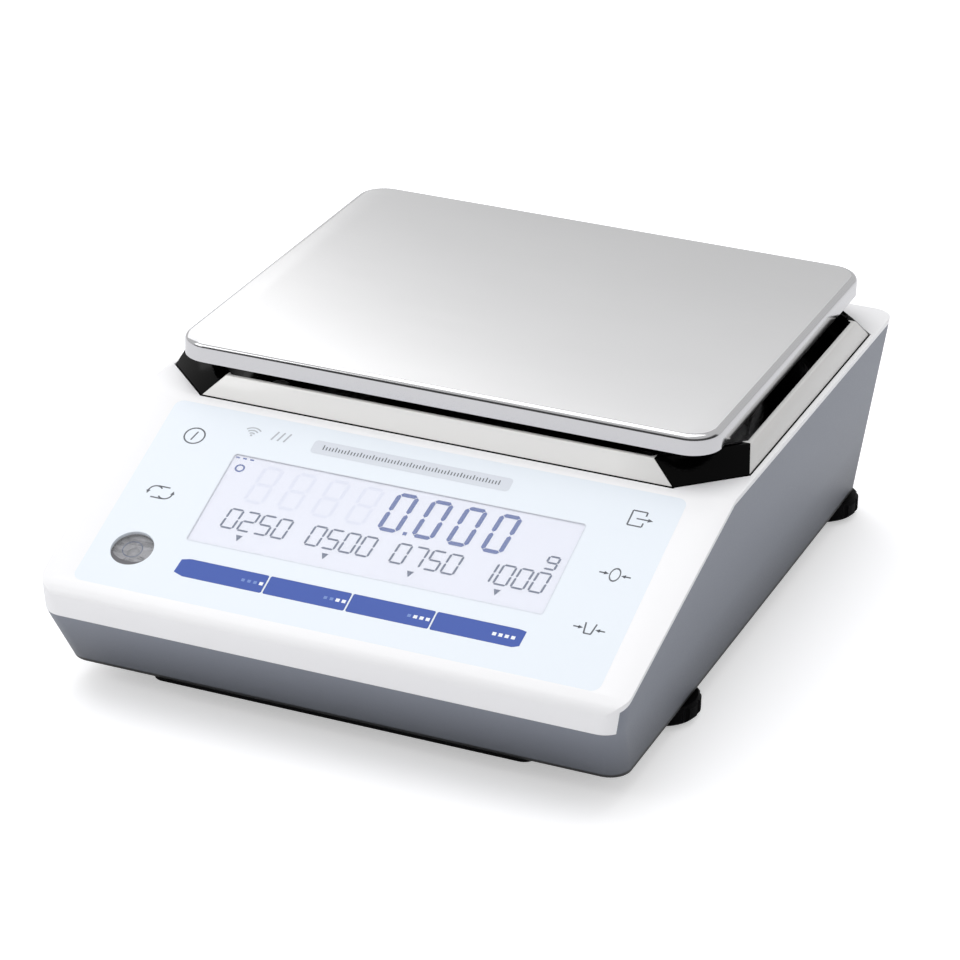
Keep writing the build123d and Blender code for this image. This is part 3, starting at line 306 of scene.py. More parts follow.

# %% [markdown]
# ### The moulded and metal finishes
# The cover is white and smooth, the tub below it is a cool grey with a fine spark-eroded grain, and the well
# is glossy black. The pan is stainless steel: satin on top and polished on its folded rim. Painted shade is
# multiplied into three colours, as in a studio that is lit from the left, because it needs no extra lamp: the
# tub darkens towards the table and is almost black in its lowest millimetre, painted shade under the body;
# the rails darken towards the right; and the pan's satin darkens towards the back, painted shade and sheen.

# %% Finishes of the shells
white_cover = moulded("white_cover", (243, 243, 245), 0.32, spread=0.06, depth=0.004 * MM, smudge=0.02)
grey_tub = moulded("grey_tub", (131, 136, 147), 0.42, scale=1800.0, spread=0.16, depth=0.02 * MM,
                   smudge=0.05)
black_well = moulded("black_well", (3, 3, 3), 0.1, spread=0.05, depth=0.002 * MM, smudge=0.0, specular=0.06)
black_foot = moulded("black_foot", (3, 3, 4), 0.5, scale=1600.0, spread=0.2, depth=0.02 * MM, specular=0.06)
black_plastic = moulded("black_plastic", (22, 22, 24), 0.45, spread=0.15, depth=0.015 * MM)
black_rubber = moulded("black_rubber", (16, 16, 16), 0.75, scale=1300.0, spread=0.2, depth=0.03 * MM,
                       specular=0.25)
bright_rail = moulded("bright_rail", (246, 245, 243), 0.16, scale=600.0, spread=0.05, depth=0.002 * MM,
                      smudge=0.03, coat=0.5)
print("finishes so far:", len(bpy.data.materials))

# %% Finishes of the metal and the inside
pan_satin = metal("pan_satin", (252, 252, 253), 0.32, scale=900.0, spread=0.10)
# The polish is a darker grey than the satin top: painted shade on the pan's faces that do not face up.
pan_polish_painted_shade = metal("pan_polish_painted_shade", (214, 214, 216), 0.13, scale=300.0, spread=0.05, depth=0.001 * MM)
plated_steel = metal("plated_steel", (196, 196, 198), 0.28)
cast_aluminium = metal("cast_aluminium", (206, 207, 210), 0.4, spread=0.2, depth=0.01 * MM)
brass = metal("brass", (214, 176, 104), 0.25)
board_green = moulded("board_green", (26, 92, 52), 0.35, scale=900.0, smudge=0.2)
grey_cable = moulded("grey_cable", (168, 168, 172), 0.5)
# Painted shade in the colour: the tub towards the table and almost black at its foot, the rails towards the
# right, and the pan's satin towards the back, painted shade and sheen.
paint_shade_along(grey_tub, "Z", [(8.6, 0.01), (9.7, 0.03), (10.2, 0.5), (18.0, 0.68), (30.0, 0.92), (52.0, 1.0)])
paint_shade_along(bright_rail, "X", [(-97.4, 1.0), (60.0, 1.0), (91.0, 0.74), (97.4, 0.7)])
paint_shade_along(pan_satin, "Y", [(-36.5, 1.0), (0.0, 0.94), (40.0, 0.88), (113.5, 0.78)])
print("finishes so far:", len(bpy.data.materials))

# %% [markdown]
# ### Film, inks and clear parts
# The key panel is a printed film, so its pieces share one pale blue ground. The inks are a little duller than
# the film. The display window is mostly clear: its shader is a plain gloss with a low alpha, which lets the
# light through to the display below it.

# %% Film and inks
film = moulded("film", (231, 238, 246), 0.38, scale=3000.0, spread=0.05, depth=0.003 * MM, smudge=0.015)
blue_film = moulded("blue_film", (34, 76, 170), 0.4, scale=3000.0, spread=0.08, depth=0.003 * MM,
                    smudge=0.12)
display_ground = moulded("display_ground", (236, 238, 249), 0.5, scale=700.0, smudge=0.03)
ink_grey = moulded("ink_grey", (92, 96, 104), 0.5, smudge=0.1)
ink_pale = moulded("ink_pale", (184, 188, 196), 0.5, smudge=0.05)
ink_frame = moulded("ink_frame", (216, 221, 230), 0.5, smudge=0.05)
ink_blue = moulded("ink_blue", (40, 78, 158), 0.45, smudge=0.1)
ink_slate = moulded("ink_slate", (66, 82, 116), 0.45, smudge=0.1)
ink_white = moulded("ink_white", (240, 244, 250), 0.5, smudge=0.02)
ink_ghost = moulded("ink_ghost", (226, 229, 243), 0.5, smudge=0.02)
# Painted shadow: the darker crescent that the wall of the level cup throws on the liquid.
painted_cup_shadow = moulded("painted_cup_shadow", (96, 95, 100), 0.5, smudge=0.05)
ink_dim = moulded("ink_dim", (112, 140, 204), 0.5, smudge=0.05)
level_liquid = moulded("level_liquid", (176, 175, 180), 0.3, scale=500.0, smudge=0.05)
print("finishes so far:", len(bpy.data.materials))

# %% Clear parts
def clear(name, colour, alpha, roughness):
    material, tree, shader = start_material(name)
    surface = place_group(tree, grain, Scale=1500.0, Roughness=roughness, Spread=0.02)
    tree.links.new(surface.outputs["Roughness"], shader.inputs["Roughness"])
    shader.inputs["Base Color"].default_value = screen_colour(*colour)
    shader.inputs["Alpha"].default_value = alpha
    return material


window_clear = clear("window_clear", (244, 247, 252), alpha=0.18, roughness=0.08)
lens_clear = clear("lens_clear", (200, 202, 206), alpha=0.2, roughness=0.06)
print("all finishes:", len(bpy.data.materials))

# %% [markdown]
# ## Giving every frame node its finish
# A node whose shape is right keeps its shape and only gets a better material. Keys, feet and screws come in
# sets, so they are known by their names, and the table covers the rest. The pieces inside are covered too,
# so that an opened balance looks right.

# %% Finish of each node
finishes = {
    "upper_housing": white_cover, "lower_housing": grey_tub, "base_plate": black_foot,
    "well_tray": black_well, "front_rail": bright_rail, "rear_rail": bright_rail,
    "left_rail": bright_rail, "right_rail": bright_rail, "weighing_pan": pan_satin,
    "pan_support": cast_aluminium, "pan_cushions": black_rubber, "pan_post": plated_steel,
    "weighing_hook": plated_steel, "weigh_cell": cast_aluminium, "overload_spring": plated_steel,
    "cell_plate": plated_steel, "sensor_lever": cast_aluminium, "fork_sensor": cast_aluminium,
    "panel_overlay": film, "display_window": window_clear, "display_glass": display_ground,
    "backlight": display_ground, "key_switches": black_plastic, "display_board": board_green,
    "main_board": board_green, "board_components": black_plastic, "level_cup": black_plastic,
    "level_lens": lens_clear, "level_vial": level_liquid, "level_bubble": lens_clear,
    "display_ribbon": grey_cable, "cell_lead": black_plastic, "port_plate": black_plastic,
    "serial_connector": plated_steel, "supply_socket": black_plastic, "hook_cover": black_foot,
    "foot_inserts": brass,
}
for name, node in frame["nodes"].items():
    if name.startswith("soft_key"):
        finish_of_node = blue_film
    elif name.endswith("_key"):
        finish_of_node = film
    elif name.startswith("foot_knob"):
        finish_of_node = black_foot
    elif name.startswith("foot_pad"):
        finish_of_node = black_rubber
    elif "screw" in name:
        finish_of_node = plated_steel
    else:
        finish_of_node = finishes[name]
    node.data.materials.clear()
    node.data.materials.append(finish_of_node)
print("nodes finished:", len(frame["nodes"]))

# %% [markdown]
# ## Softening the moulded edges
# Nothing that is moulded, cast or folded has a knife edge: a small round catches the light along every edge.
# A copy of the node is merged into clean flat faces, every sharp edge of the copy is bevelled, and the copy
# then stands for the node. The frame's own mesh stays as it is.

# %% Helpers that finish a mesh
def smooth_by_angle(bm, degrees):
    limit = math.radians(degrees)
    for face in bm.faces:
        face.smooth = True
    for edge in bm.edges:
        edge.smooth = len(edge.link_faces) == 2 and edge.calc_face_angle(0) < limit


def place_piece(name, bm, material, body):
    mesh = bpy.data.meshes.new(name)
    bm.to_mesh(mesh)
    bm.free()
    piece = bpy.data.objects.new(name, mesh)
    scene.collection.objects.link(piece)
    mesh.materials.append(material)
    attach(piece, body)
    return piece


def make_piece(name, bm, material, body, angle=35):
    bmesh.ops.recalc_face_normals(bm, faces=bm.faces)
    smooth_by_angle(bm, angle)
    return place_piece(name, bm, material, body)


print("mesh helpers ready")

# %% Softened copies of the large pieces
EDGE_ROUNDS = {"upper_housing": 0.7, "lower_housing": 0.6, "well_tray": 0.35, "front_rail": 0.35,
               "rear_rail": 0.35, "left_rail": 0.35, "right_rail": 0.35, "base_plate": 0.3}
ROUND_SEGMENTS = 3
MERGE_DISTANCE = 0.002
FLAT_ANGLE = 0.6
SHARP_ANGLE = 28


def soften(node_name, width):
    node = frame["nodes"][node_name]
    bm = bmesh.new()
    bm.from_mesh(node.data)
    bmesh.ops.remove_doubles(bm, verts=bm.verts, dist=MERGE_DISTANCE * MM)
    bmesh.ops.dissolve_limit(bm, angle_limit=math.radians(FLAT_ANGLE), verts=bm.verts, edges=bm.edges)
    limit = math.radians(SHARP_ANGLE)
    edges = [e for e in bm.edges if len(e.link_faces) == 2 and e.calc_face_angle(0) > limit]
    bmesh.ops.bevel(bm, geom=edges, offset=width * MM, offset_type="OFFSET", segments=ROUND_SEGMENTS,
                    profile=0.5, affect="EDGES", material=-1, clamp_overlap=True)
    finish = node.data.materials[0]
    piece = make_piece(node_name + "_soft", bm, finish, node["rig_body"])
    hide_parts(node_name)
    return piece


for node_name, width in EDGE_ROUNDS.items():
    piece = soften(node_name, width)
    print("softened", node_name, "faces", len(piece.data.polygons))

# %% [markdown]
# ## The weighing pan
# The sheet is satin on top, and its folded edge and skirt are polished, as they are where the fold stretches
# the steel. The polish is also a darker grey than the satin: painted shade on the faces that do not face up.
# The pan gets one copy: its level top stays satin, and every other face takes the polish.

# %% Satin top and polished fold
LEVEL_NORMAL = 0.999
PAN_SMOOTH_ANGLE = 40
pan_node = frame["nodes"]["weighing_pan"]
bm = bmesh.new()
bm.from_mesh(pan_node.data)
bmesh.ops.remove_doubles(bm, verts=bm.verts, dist=MERGE_DISTANCE * MM)
bmesh.ops.recalc_face_normals(bm, faces=bm.faces)
for face in bm.faces:
    face.material_index = 0 if face.normal.z > LEVEL_NORMAL else 1
pan = make_piece("weighing_pan_sheet", bm, pan_satin, pan_node["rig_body"], PAN_SMOOTH_ANGLE)
pan.data.materials.append(pan_polish_painted_shade)
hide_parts("weighing_pan")
print("pan faces:", len(pan.data.polygons))

# %% [markdown]
# ## Printing the panel
# The slope has its own flat coordinates: x across, and down the slope from the well's front edge, both in
# millimetres. Every mark is a flat outline in those coordinates, laid a few hundredths above the film. A mark
# on a key rides on that key, so it goes down with it.

# %% Places on the slope
PANEL_SLOPE = math.radians(22.58)
WELL_FRONT = -39.25
RIM_HEIGHT = 71.6
INK_HEIGHT = 0.03
panel_normal = Vector((0, -math.sin(PANEL_SLOPE), math.cos(PANEL_SLOPE)))
panel_down = Vector((0, -math.cos(PANEL_SLOPE), -math.sin(PANEL_SLOPE)))
panel_start = Vector((0, WELL_FRONT, RIM_HEIGHT))


def on_panel(x, down, height):
    return (panel_start + Vector((x, 0, 0)) + down * panel_down + height * panel_normal) * MM


def print_marks(name, outlines, ink, body="housing", height=INK_HEIGHT):
    bm = bmesh.new()
    for outline in outlines:
        face = bm.faces.new([bm.verts.new(on_panel(x, down, height)) for x, down in outline])
        face.normal_update()
        if face.normal.dot(panel_normal) < 0:
            face.normal_flip()
    place_piece(name, bm, ink, body)


print("the panel leans", round(math.degrees(PANEL_SLOPE), 2), "degrees")

# %% Straight and round strokes
def stroke(x0, down0, x1, down1, width):
    length = math.hypot(x1 - x0, down1 - down0)
    across = (down0 - down1) / length * width / 2
    along = (x1 - x0) / length * width / 2
    return [(x0 + across, down0 + along), (x1 + across, down1 + along),
            (x1 - across, down1 - along), (x0 - across, down0 - along)]


def arc(x, down, radius, width, start, end, steps=24):
    inner, outer = radius - width / 2, radius + width / 2
    outlines = []
    for n in range(steps):
        a, b = (math.radians(start + (end - start) * k / steps) for k in (n, n + 1))
        corners = ((inner, a), (outer, a), (outer, b), (inner, b))
        outlines.append([(x + r * math.cos(t), down - r * math.sin(t)) for r, t in corners])
    return outlines


print("strokes ready")

# %% Filled shapes and borders
CORNER_STEPS = 6
POINTER_CORNERS = (0, 130, 230)


def rounded(x0, down0, x1, down1, radius):
    corners = [(x1 - radius, down0 + radius, 0), (x0 + radius, down0 + radius, 90),
               (x0 + radius, down1 - radius, 180), (x1 - radius, down1 - radius, 270)]
    outline = []
    for x, down, start in corners:
        for n in range(CORNER_STEPS + 1):
            angle = math.radians(start + 90 * n / CORNER_STEPS)
            outline.append((x + radius * math.cos(angle), down - radius * math.sin(angle)))
    return outline


def border(x0, down0, x1, down1, radius, width):
    outer = rounded(x0, down0, x1, down1, radius)
    inner = rounded(x0 + width, down0 + width, x1 - width, down1 - width, radius - width)
    count = len(outer)
    return [[outer[n], outer[(n + 1) % count], inner[(n + 1) % count], inner[n]] for n in range(count)]


def square(x, down, size):
    half = size / 2
    return [(x - half, down - half), (x + half, down - half),
            (x + half, down + half), (x - half, down + half)]


def pointer(x, down, size, heading):
    angles = [math.radians(heading + corner) for corner in POINTER_CORNERS]
    return [(x + size * math.cos(t), down - size * math.sin(t)) for t in angles]


print("shapes ready")

# %% [markdown]
# ### Digits of bars
# A display digit is seven bars. Each bar is a thin six-sided outline with pointed ends, and short gaps stay
# between the bars. The small row uses the same digits with thinner bars.

# %% Digits
DIGIT_BARS = {"0": "abcdef", "1": "bc", "2": "abged", "5": "afgcd", "7": "abc", "8": "abcdefg", "g": "abcdfg"}


def bar_digit(shape, left, top, width, height, thick, lean, gap):
    right, middle, bottom = left + width, top + height / 2, top + height
    ends = {
        "a": (left, top, right, top), "b": (right, top, right, middle), "c": (right, middle, right, bottom),
        "d": (left, bottom, right, bottom), "e": (left, middle, left, bottom), "f": (left, top, left, middle),
        "g": (left, middle, right, middle),
    }
    outlines = []
    half = thick / 2
    for bar in DIGIT_BARS[shape]:
        x0, y0, x1, y1 = ends[bar]
        if y0 == y1:
            line = [(x0 + gap, y0), (x0 + gap + half, y0 - half), (x1 - gap - half, y0 - half),
                    (x1 - gap, y0), (x1 - gap - half, y0 + half), (x0 + gap + half, y0 + half)]
        else:
            line = [(x0, y0 + gap), (x0 + half, y0 + gap + half), (x0 + half, y1 - gap - half),
                    (x0, y1 - gap), (x0 - half, y1 - gap - half), (x0 - half, y0 + gap + half)]
        outlines.append([(x + lean * (bottom - y) / height, y) for x, y in line])
    return outlines


print("digit shapes:", len(DIGIT_BARS))

# %% [markdown]
# ### The display
# The pale display face lies right under its window. Marks on it sit a little deeper than the film, so they
# are moved by what that depth shifts them when they are seen from the front right.

# %% Display face
DISPLAY_DEPTH = 0.3
MARK_DEPTH = DISPLAY_DEPTH - INK_HEIGHT
SHIFT_ACROSS, SHIFT_DOWN = -0.13, -0.23
FACE_LEFT, FACE_TOP, FACE_RIGHT, FACE_BOTTOM = -57.9, 20.8, 59.3, 58.2
FACE_RADIUS = 1.1


def display_marks(name, outlines, ink, lift=0.0):
    moved = [[(x + SHIFT_ACROSS, down + SHIFT_DOWN) for x, down in outline] for outline in outlines]
    print_marks(name, moved, ink, height=lift - MARK_DEPTH)


face_outline = rounded(FACE_LEFT, FACE_TOP, FACE_RIGHT, FACE_BOTTOM, FACE_RADIUS)
print_marks("display_face", [face_outline], display_ground, height=-DISPLAY_DEPTH)
print("display face points:", len(face_outline))

# %% The reading, its unit and the digits at rest
BIG_DIGIT = {"top": 23.8, "width": 5.8, "height": 14.7, "lean": 1.2}
BIG_STARTS = [-2.4, 9.0, 20.2, 31.5]
BIG_INSET = 0.6
REST_COUNT, REST_PITCH = 4, 11.3
READING_LIFT = 0.01
POINT_X, POINT_DOWN, POINT_SIZE = 6.9, 38.6, 1.3
reading = []
for left in BIG_STARTS:
    reading += bar_digit("0", left + BIG_INSET, thick=1.5, gap=0.15, **BIG_DIGIT)
decimal_point = square(POINT_X, POINT_DOWN, POINT_SIZE)
display_marks("reading_digits", reading + [decimal_point], ink_blue, lift=READING_LIFT)

unit = bar_digit("g", left=52.9, top=35.8, width=3.4, height=5.0, thick=0.7, lean=0.3, gap=0.08)
display_marks("reading_unit", unit, ink_slate, lift=READING_LIFT)

resting_digits = []
for n in range(REST_COUNT):
    left = BIG_STARTS[0] + BIG_INSET - REST_PITCH * (n + 1)
    resting_digits += bar_digit("8", left, thick=1.25, gap=0.25, **BIG_DIGIT)
display_marks("resting_digits", resting_digits, ink_ghost)
print("bars in the reading:", len(reading), "and at rest:", len(resting_digits))

# %% The small numbers and their pointers
SMALL_DIGIT = {"top": 42.6, "width": 4.0, "height": 7.8, "thick": 0.72, "lean": 0.7, "gap": 0.1}
SMALL_PITCH = 5.6
GROUPS = {"0250": -49.8, "0500": -21.5, "0750": 6.5, "1000": 34.8}
POINTER_PLACES = (-42.3, -13.6, 14.5, 42.6)
POINTER_DOWN, POINTER_SIZE, POINTING_DOWN = 53.3, 1.5, 270
small = []
for number, start in GROUPS.items():
    for n, shape in enumerate(number):
        small += bar_digit(shape, start + SMALL_PITCH * n, **SMALL_DIGIT)
display_marks("group_digits", small, ink_slate)
pointers = [pointer(x, POINTER_DOWN, POINTER_SIZE, POINTING_DOWN) for x in POINTER_PLACES]
display_marks("group_pointers", pointers, ink_slate)
print("numbers:", len(GROUPS), "pointers:", len(pointers))

# %% The steady mark and the window's border
MARK_LINE = 0.6
STEADY_X, STEADY_DOWN, STEADY_RADIUS = -53.9, 26.3, 1.35
DASH_STARTS, DASH_DOWN, DASH_LENGTH = (-57.0, -54.6, -52.2), 22.2, 1.3
BORDER_OUTSIDE, BORDER_WIDTH = 0.1, 0.3
steady_ring = arc(STEADY_X, STEADY_DOWN, STEADY_RADIUS, MARK_LINE, 0, 360)
dashes = [stroke(x, DASH_DOWN, x + DASH_LENGTH, DASH_DOWN, MARK_LINE) for x in DASH_STARTS]
display_marks("steady_mark", steady_ring + dashes, ink_blue)
frame_line = border(FACE_LEFT - BORDER_OUTSIDE, FACE_TOP - BORDER_OUTSIDE, FACE_RIGHT + BORDER_OUTSIDE,
                    FACE_BOTTOM + BORDER_OUTSIDE, FACE_RADIUS + BORDER_OUTSIDE, BORDER_WIDTH)
print_marks("window_border", frame_line, ink_frame)
print("display marks ready")

# %% [markdown]
# ### Icons on the film and the keys
# On the real panel one film runs unbroken over the keys, so each key gets a thin skin that closes the gap
# round it. Each key has one pictogram. The long blue keys carry four small squares at their right end, and
# one more square is lit on each key along the bar.

# %% Unbroken film over the keys
KEY_PLACES = {"power_key": (-74.0, 17.2), "mode_key": (-74.0, 42.4), "output_key": (74.4, 14.8),
              "zero_key": (74.4, 37.8), "tare_key": (74.4, 59.7)}
SKIN_HALF_WIDTH, SKIN_HALF_DEPTH, SKIN_RADIUS = 8.1, 5.85, 1.6
SKIN_HEIGHT = 0.01
for key, (x, down) in KEY_PLACES.items():
    skin = rounded(x - SKIN_HALF_WIDTH, down - SKIN_HALF_DEPTH, x + SKIN_HALF_WIDTH, down + SKIN_HALF_DEPTH,
                   SKIN_RADIUS)
    print_marks(key + "_skin", [skin], film, key, height=SKIN_HEIGHT)
print("key skins:", len(KEY_PLACES))

# %% Icons of the left keys: a power ring and a cycle of two arrows
LINE = 0.5
ARROW = 0.9
POINTING_UP = 90
POWER_X, POWER_DOWN, POWER_RADIUS = -73.7, 17.1, 3.3
POWER_BAR = (-73.2, 15.2, -74.2, 19.0)
LEFT_BEND, RIGHT_BEND, BEND_DOWN, BEND_RADIUS = -75.8, -72.2, 42.1, 2.3
UPPER_LINE, LOWER_LINE = (-75.6, 39.7, -71.6, 39.7), (-76.4, 44.5, -72.4, 44.5)
LEFT_TIP, RIGHT_TIP = (-78.1, 42.6), (-69.9, 41.6)


def lines(*ends):
    """One stroke for each start and end, given as x, down, x, down."""
    return [stroke(*points, LINE) for points in ends]


power = arc(POWER_X, POWER_DOWN, POWER_RADIUS, LINE, 0, 360, 40) + lines(POWER_BAR)
print_marks("power_icon", power, ink_grey, "power_key")
cycle = arc(LEFT_BEND, BEND_DOWN, BEND_RADIUS, LINE, 40, 180, 16) + lines(UPPER_LINE)
cycle.append(pointer(*LEFT_TIP, ARROW, POINTING_DOWN))
cycle += arc(RIGHT_BEND, BEND_DOWN, BEND_RADIUS, LINE, 220, 360, 16) + lines(LOWER_LINE)
cycle.append(pointer(*RIGHT_TIP, ARROW, POINTING_UP))
print_marks("mode_icon", cycle, ink_grey, "mode_key")
print("outlines:", len(power), "and", len(cycle))

# %% Icons of the right keys: a box with an arrow out, a zero, and a dish
POINTING_RIGHT, POINTING_LEFT = 0, 180
BOX_LEFT, BOX_RIGHT, BOX_TOP, BOX_BOTTOM = 71.0, 75.6, 11.8, 17.8
GAP_TOP, GAP_BOTTOM = 13.4, 16.2
SHAFT = (73.0, 14.8, 77.0, 14.8)
SHAFT_TIP, SHAFT_TIP_SIZE = (77.3, 14.8), 1.0
ZERO_DOWN = 37.8
OVAL_X, OVAL_RADIUS, OVAL_NARROW = 74.6, 2.5, 0.62
TARE_BELOW_ZERO = 21.9
DISH_SIDES = ((72.9, 57.5, 73.5, 61.6), (76.3, 57.5, 75.7, 61.6), (73.4, 61.6, 75.8, 61.6))
send = lines((BOX_LEFT, BOX_TOP, BOX_LEFT, BOX_BOTTOM), (BOX_LEFT, BOX_TOP, BOX_RIGHT, BOX_TOP),
             (BOX_LEFT, BOX_BOTTOM, BOX_RIGHT, BOX_BOTTOM), (BOX_RIGHT, BOX_TOP, BOX_RIGHT, GAP_TOP),
             (BOX_RIGHT, GAP_BOTTOM, BOX_RIGHT, BOX_BOTTOM), SHAFT)
send.append(pointer(*SHAFT_TIP, SHAFT_TIP_SIZE, POINTING_RIGHT))
print_marks("output_icon", send, ink_grey, "output_key")

inward = [*lines((69.6, ZERO_DOWN, 71.6, ZERO_DOWN)), pointer(71.8, ZERO_DOWN, ARROW, POINTING_RIGHT),
          *lines((79.6, ZERO_DOWN, 77.6, ZERO_DOWN)), pointer(77.4, ZERO_DOWN, ARROW, POINTING_LEFT)]
ring = arc(OVAL_X, ZERO_DOWN, OVAL_RADIUS, MARK_LINE, 0, 360)
oval = [[(OVAL_X + OVAL_NARROW * (x - OVAL_X), down) for x, down in outline] for outline in ring]
print_marks("zero_icon", inward + oval, ink_grey, "zero_key")

inward_lower = [[(x, down + TARE_BELOW_ZERO) for x, down in outline] for outline in inward]
dish = lines(*DISH_SIDES)
print_marks("tare_icon", inward_lower + dish, ink_grey, "tare_key")
print("outlines:", len(send), len(inward + oval), "and", len(inward_lower + dish))

# %% Radio mark and slanted bars
RADIO_X, RADIO_DOWN, RADIO_RADII = -56.2, 12.6, (1.2, 2.3, 3.4)
DOT_DOWN, DOT_SIZE = 12.4, 0.7
SLANT_STARTS, SLANT_LOW, SLANT_HIGH, SLANT_LEAN = (-49.3, -47.2, -45.1), 12.6, 8.8, 1.3
radio = [outline for r in RADIO_RADII for outline in arc(RADIO_X, RADIO_DOWN, r, LINE, 45, 135, 10)]
print_marks("radio_icon", radio + [square(RADIO_X, DOT_DOWN, DOT_SIZE)], ink_pale)
slanted = [stroke(x, SLANT_LOW, x + SLANT_LEAN, SLANT_HIGH, MARK_LINE) for x in SLANT_STARTS]
print_marks("slanted_bars", slanted, ink_pale)
print("arcs:", len(RADIO_RADII), "bars:", len(slanted))

# %% Data plate with plain ticks
PLATE_LEFT, PLATE_TOP, PLATE_RIGHT, PLATE_BOTTOM, PLATE_RADIUS = -35.4, 9.0, 31.2, 14.5, 1.4
TICK_START, TICK_PITCH, TICK_COUNT, TICK_WIDTH = -31.6, 1.05, 57, 0.35
TICK_FOOT, TICK_TOP, LONG_TICK_EXTRA, LONG_TICK_EVERY = 12.5, 11.1, 0.5, 4
plate = rounded(PLATE_LEFT, PLATE_TOP, PLATE_RIGHT, PLATE_BOTTOM, PLATE_RADIUS)
print_marks("data_plate", [plate], ink_frame)
ticks = []
for n in range(TICK_COUNT):
    x = TICK_START + TICK_PITCH * n
    top = TICK_TOP - LONG_TICK_EXTRA if n % LONG_TICK_EVERY == 0 else TICK_TOP
    ticks.append(stroke(x, TICK_FOOT, x, top, TICK_WIDTH))
print_marks("data_ticks", ticks, ink_grey, height=2 * INK_HEIGHT)
print("ticks:", len(ticks))

# %% The blue bar
BAR_START = [(-53.0, 65.2), (-55.6, 66.0), (-55.9, 71.2), (-53.0, 72.2)]
BAR_END = [(55.3, 65.2), (57.2, 65.6), (57.0, 71.4), (55.3, 72.2)]
BAR_MIDDLE, SOFT_PITCH, SOFT_HALF, SOFT_COUNT = 1.1, 27.275, 13.39, 4
SQUARE_COUNT, SQUARE_PITCH, SQUARE_INSET, SQUARE_DOWN = 4, 2.0, 7.3, 68.8
LIT_SIZE, RESTING_SIZE = 1.25, 1.1
print_marks("bar_start", [BAR_START], blue_film)
print_marks("bar_end", [BAR_END], blue_film)
for n in range(SOFT_COUNT):
    end = BAR_MIDDLE + (n - (SOFT_COUNT - 1) / 2) * SOFT_PITCH + SOFT_HALF
    places = [end - SQUARE_INSET + SQUARE_PITCH * k for k in range(SQUARE_COUNT)]
    first_lit = SQUARE_COUNT - 1 - n
    lit = [square(x, SQUARE_DOWN, LIT_SIZE) for x in places[first_lit:]]
    resting = [square(x, SQUARE_DOWN, RESTING_SIZE) for x in places[:first_lit]]
    key = "soft_key_%d" % (n + 1)
    print_marks(key + "_lit", lit, ink_white, key)
    if resting:
        print_marks(key + "_resting", resting, ink_dim, key)
print("blue keys:", SOFT_COUNT)

# %% [markdown]
# ### The level
# The glass of the level carries one thin centring ring. A darker crescent on the liquid is a painted shadow,
# the shade that the wall of its cup throws. Its first and last steps have almost no width, so they are left
# out.

# %% Level ring and crescent
LEVEL_X, LEVEL_DOWN = -72.6, 65.7
LENS_HEIGHT = -0.57
RING_RADIUS, RING_LINE = 3.1, 0.22
SHADE_RADIUS, SHADE_DEPTH = 6.7, 1.9
SHADE_FROM, SHADE_SWEEP, SHADE_STEPS = 190, 150, 20
centring_ring = arc(LEVEL_X, LEVEL_DOWN, RING_RADIUS, RING_LINE, 0, 360, 40)
print_marks("level_ring", centring_ring, ink_slate, height=LENS_HEIGHT)

crescent = []
for n in range(SHADE_STEPS):
    a, b = (math.radians(SHADE_FROM + SHADE_SWEEP * k / SHADE_STEPS) for k in (n, n + 1))
    deep_a, deep_b = (SHADE_DEPTH * math.sin(math.pi * k / SHADE_STEPS) for k in (n, n + 1))
    corners = [(SHADE_RADIUS, a), (SHADE_RADIUS, b), (SHADE_RADIUS - deep_b, b), (SHADE_RADIUS - deep_a, a)]
    crescent.append([(LEVEL_X + r * math.cos(t), LEVEL_DOWN - r * math.sin(t)) for r, t in corners])
print_marks("level_crescent", crescent[1:-1], painted_cup_shadow, height=LENS_HEIGHT)
print("level ring and crescent:", len(centring_ring), "and", len(crescent) - 2, "outlines")

# %% [markdown]
# ## Details behind and below
# The data socket gets the nine contacts that a plug finds there, and the screw of the hook's cover gets a
# cross recess. Both are flat shapes that lie just proud of the metal, which is enough at this size.

# %% Contacts of the data socket
PROUD = 0.03
CONTACT_ROWS = ((5, 1.4), (4, -1.4))
CONTACT_PITCH, CONTACT_RADIUS, CONTACT_STEPS = 2.75, 0.5, 20
RIGHT, UP, BACK = Vector((1, 0, 0)), Vector((0, 0, 1)), Vector((0, 1, 0))


def disc(bm, centre, radius, across, up):
    angles = [2 * math.pi * n / CONTACT_STEPS for n in range(CONTACT_STEPS)]
    points = [centre + radius * (math.cos(t) * across + math.sin(t) * up) for t in angles]
    bm.faces.new([bm.verts.new(point) for point in points])


low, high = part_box("serial_connector")
socket_face = Vector(((low[0] + high[0]) / 2, high[1] + PROUD * MM, (low[2] + high[2]) / 2))
bm = bmesh.new()
for count, height in CONTACT_ROWS:
    for n in range(count):
        across = (n - (count - 1) / 2) * CONTACT_PITCH
        disc(bm, socket_face + (across * RIGHT + height * UP) * MM, CONTACT_RADIUS * MM, -RIGHT, UP)
make_piece("serial_contacts", bm, brass, "housing")
print("contacts:", sum(count for count, height in CONTACT_ROWS))

# %% Recess of the hook cover's screw
RECESS_SIZE = 3.4


def cross(bm, centre, size, across, up):
    half, thin = size / 2, size / 8
    for a, b in ((half, thin), (thin, half)):
        corners = ((-a, -b), (a, -b), (a, b), (-a, b))
        bm.faces.new([bm.verts.new(centre + x * across + y * up) for x, y in corners])


low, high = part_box("hook_cover_screw")
screw_face = Vector(((low[0] + high[0]) / 2, (low[1] + high[1]) / 2, low[2] - PROUD * MM))
bm = bmesh.new()
cross(bm, screw_face, RECESS_SIZE * MM, RIGHT, BACK)
make_piece("hook_screw_recess", bm, black_plastic, "housing")
print("recess under", round(low[2] / MM, 2), "mm")

# %% [markdown]
# ## The stage and the light
# The balance stands on a plain pale floor. Only what the camera sees directly is lifted to white, so the
# floor still keeps the shadow of the balance. The world is a pale studio. Around the front and the right,
# mirror-like metal sees a dark band, as it does in any studio where the room behind the camera isn't lit.

